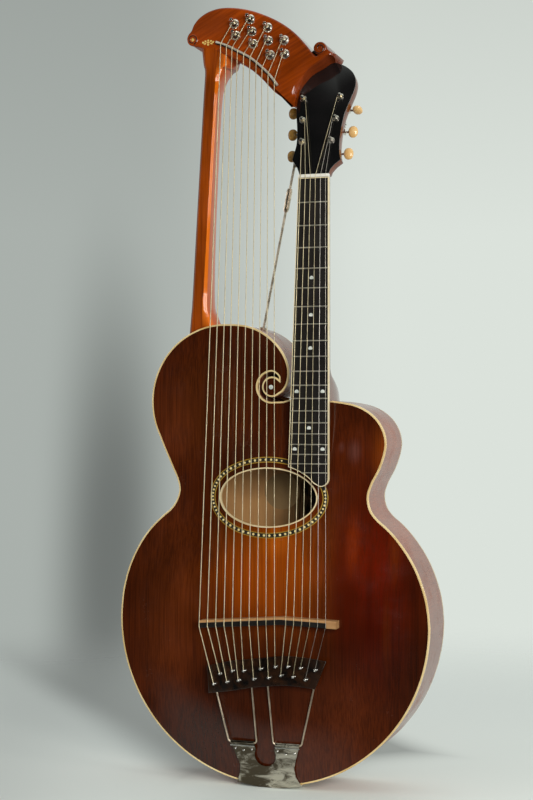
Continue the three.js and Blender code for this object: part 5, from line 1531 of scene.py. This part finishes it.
# The bracket's plating is worn to brown patches, partly worn plating and partly painted reflection, and its
# bass side is painted darker and its treble side lighter: painted shade and painted light.
mirror_nickel, tree, shader, place = new_finish("polished bracket nickel")
drawn_out = node(tree, "Mapping", place, Scale=(1, 1, 2.6))
patches = node(tree, "TexNoise", Vector=drawn_out, Scale=34.0, Detail=6.0, Roughness=0.7, Distortion=0.8)
treble_painted_light = ramp(tree, node(tree, "SeparateXYZ", place).outputs["X"], -0.03, 0.035, -0.1, 0.1)
plating_and_reflection = ramp(tree, node(tree, "Math", patches, treble_painted_light, operation="ADD"), 0.4, 0.64, ease="SMOOTHSTEP")
tarnish = node(tree, "TexNoise", Vector=place, Scale=26.0, Detail=6.0, Roughness=0.65)
dress(
    shader, Base_Color=mixed(tree, plating_and_reflection, (0.1, 0.08, 0.055), (0.66, 0.61, 0.51)), Metallic=1,
    Roughness=ramp(tree, plating_and_reflection, 0, 1, 0.16, 0.34),
    Normal=node(tree, "Bump", Strength=0.08, Distance=0.0002, Height=tarnish),
)
folded = bpy.data.objects.new("folded_bracket", nodes_of_frame["tailpiece_bracket"].data.copy())
scene.collection.objects.link(folded)
refinish(folded, mirror_nickel, 35)
soft_edge = folded.modifiers.new("soft edge", "BEVEL")
soft_edge.width = 0.3 * mm
soft_edge.segments = 2
soft_edge.limit_method = "ANGLE"
soft_edge.angle_limit = math.radians(35)
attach(folded, "guitar")
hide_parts("tailpiece_bracket")
rivet_profile = [(0, -0.75), (0.8, -0.65), (1.25, -0.3), (1.35, 0.1), (1.35, 1), (0, 1)]
rivet_spots = ((-47.5, 55), (-35.5, 52.8), (-23, 54.6), (15, 54.4), (27.5, 51), (40.5, 53))
rivets = [turned(rivet_profile, 18, at(x, hinge_y - 0.2, z)) for x, z in rivet_spots]
piece("bracket_rivets", *gathered(*rivets), bright_nickel, slot="nickel_plate")
roll_y, roll_z, roll_short = hinge_y - 1.1, hinge_z - 4.4, 3
rolls = []
for side in (-1, 1):
    ends = hinge_x + side * (inner_leg + roll_short), hinge_x + side * (outer_leg - roll_short)
    rolls.append(tube([(x, roll_y, roll_z) for x in ends], 0.8, 12))
piece("bracket_rolled_edge", *gathered(*rolls), bright_nickel, slot="nickel_plate")


# Strings: ten wound sub-bass strings and six neck strings, the lower four wound. Each runs
# from its hitch pin over the saddle and a nut to its pin or post, and is wound on there.
bass_string = metal("wound bass string", (0.74, 0.65, 0.42), 0.34, dark=0.75, spots=300)
plain_string = metal("plain steel string", (0.85, 0.8, 0.7), 0.34, dark=0.75, spots=300)
tree, shader = shader_of(bass_string)
place = node(tree, "TexCoord").outputs["Object"]
wrap = node(tree, "TexWave", bands_direction="Z", Vector=place, Scale=420, Distortion=0.0).outputs[1]
feed(shader["Normal"], node(tree, "Bump", Strength=0.5, Distance=0.0001, Height=wrap))
harp_spots = [on_head(*p) for p in (
    (0.26, 0.667), (0.301, 0.645), (0.341, 0.618), (0.379, 0.592), (0.424, 0.556), (0.469, 0.52),
    (0.513, 0.47), (0.555, 0.421), (0.598, 0.363), (0.642, 0.296),
)]


def short_of(start, end, distance):
    """The point that lies a distance before the end of a line."""
    return end + (start - end).normalized() * distance


hitch_lift, hitch_gap, string_rest = 2.5, 1.3, 0.05


def string_piece(name, hitch, across, nut_spot, target, gap, radius, finish, slot, solid):
    """A string from its hitch pin over the saddle and the nut to just short of its pin or post."""
    hitch = Vector((hitch[0], cross_front(hitch[1]) - hitch_lift, hitch[1]))
    saddle = Vector((across, saddle_front - string_rest - radius, height_on(saddle_line, across)))
    start = short_of(saddle, hitch, hitch_gap)
    below = [start.lerp(saddle, t) for t in (0.25, 0.5, 0.75)]
    route = [start, *below, saddle, nut_spot, short_of(nut_spot, target, gap)]
    shape = tube(route, radius, 10)
    made = piece(name, *shape, finish, body=None, slot=slot, stands_for=(solid,), crease=60)
    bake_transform(made)


winding_pitch = 2.02


def winding(centre, radius, wire, turns, matrix, steps=14):
    """The turns of a string round its pin or post, lying side by side."""
    path = []
    for step in range(turns * steps + 1):
        a = 2 * math.pi * step / steps
        along = centre + wire * winding_pitch * step / steps
        path.append(matrix @ Vector((radius * math.cos(a), along, radius * math.sin(a))))
    return tube(path, wire, 8)


harp_thick, harp_thin, harp_nut_front, wound_out = 0.72, 0.5, -42.3, 6.5
harp_saddle_start, harp_saddle_pitch = -95.7, 12.53
pin_gap, pin_wound_at, pin_wound_radius, pin_wound_turns = 2.9, -9.0, 2.45, 2
for index, (x, z) in enumerate(harp_spots):
    radius = harp_thick + (harp_thin - harp_thick) * index / 9
    pin_x, pin_z = on_head(*pin_shares[index])
    target = Vector((pin_x, head_front - wound_out, pin_z + wound_out * math.tan(pin_lean)))
    string_piece(
        f"sub_bass_{index + 1}", hitches[index], harp_saddle_start + index * harp_saddle_pitch,
        Vector((x, harp_nut_front - radius, z)), target, pin_gap, radius, bass_string, "wound_string",
        f"harp_string_{index + 1}",
    )
    wound_radius = pin_wound_radius + radius * 0.9
    wound = winding(pin_wound_at, wound_radius, radius, pin_wound_turns, pin_stands[index])
    piece(
        f"pin_winding_{index + 1}", *wound, bass_string, body=f"harp_pin_{index + 1}", slot="wound_string",
        crease=60,
    )

neck_thick, neck_thin = 0.65, 0.2
neck_saddle_start, neck_saddle_pitch, nut_pitch, nut_break = 33.6, 11.62, 7.4, 2.5
post_gap, passing_gap, beside_post, post_level = 3.2, 0.1, 3.3, -4.5
post_wound_at, post_wound_radius, post_wound_turns = -5.2, 2.2, 3
order = [p for p in posts if p[0] == "bass"] + [p for p in posts if p[0] == "treble"][::-1]
for index, (side, number, x, z) in enumerate(order):
    radius = neck_thick + (neck_thin - neck_thick) * index / 5
    out = -1 if side == "bass" else 1
    passes = number > 1
    shift = beside_post + radius if passes else 0
    finish, slot = (plain_string, "plain_string") if index > 3 else (bass_string, "wound_string")
    string_piece(
        f"neck_string_run_{6 - index}", hitches[10 + index], neck_saddle_start + index * neck_saddle_pitch,
        Vector((neck_x + (index - 2.5) * nut_pitch, nut_front - string_rest - radius, nut_z + nut_break)),
        headstock_place @ Vector((x - out * shift, post_level, z)), passing_gap if passes else post_gap,
        radius, finish, slot, f"neck_string_{6 - index}",
    )
    post_stand = headstock_place @ at(x, 0, z)
    wound = winding(post_wound_at, post_wound_radius + radius, radius, post_wound_turns, post_stand)
    piece(
        f"post_winding_{side}_{number}", *wound, finish, body=f"string_post_{side}_{number}", slot=slot,
        crease=60,
    )


# Brace rod: two lengths of dark steel rod joined by a turnbuckle, from a flange on the rim to
# a tab on the back of the headstock. It holds the neck against the pull of the bass strings.
dark_steel = metal("dulled steel", (0.72, 0.62, 0.48), 0.26, dark=0.16, spots=90)
for name in ("brace_rod_upper", "brace_rod_lower", "turnbuckle"):
    refinish(nodes_of_frame[name], dark_steel, 40)
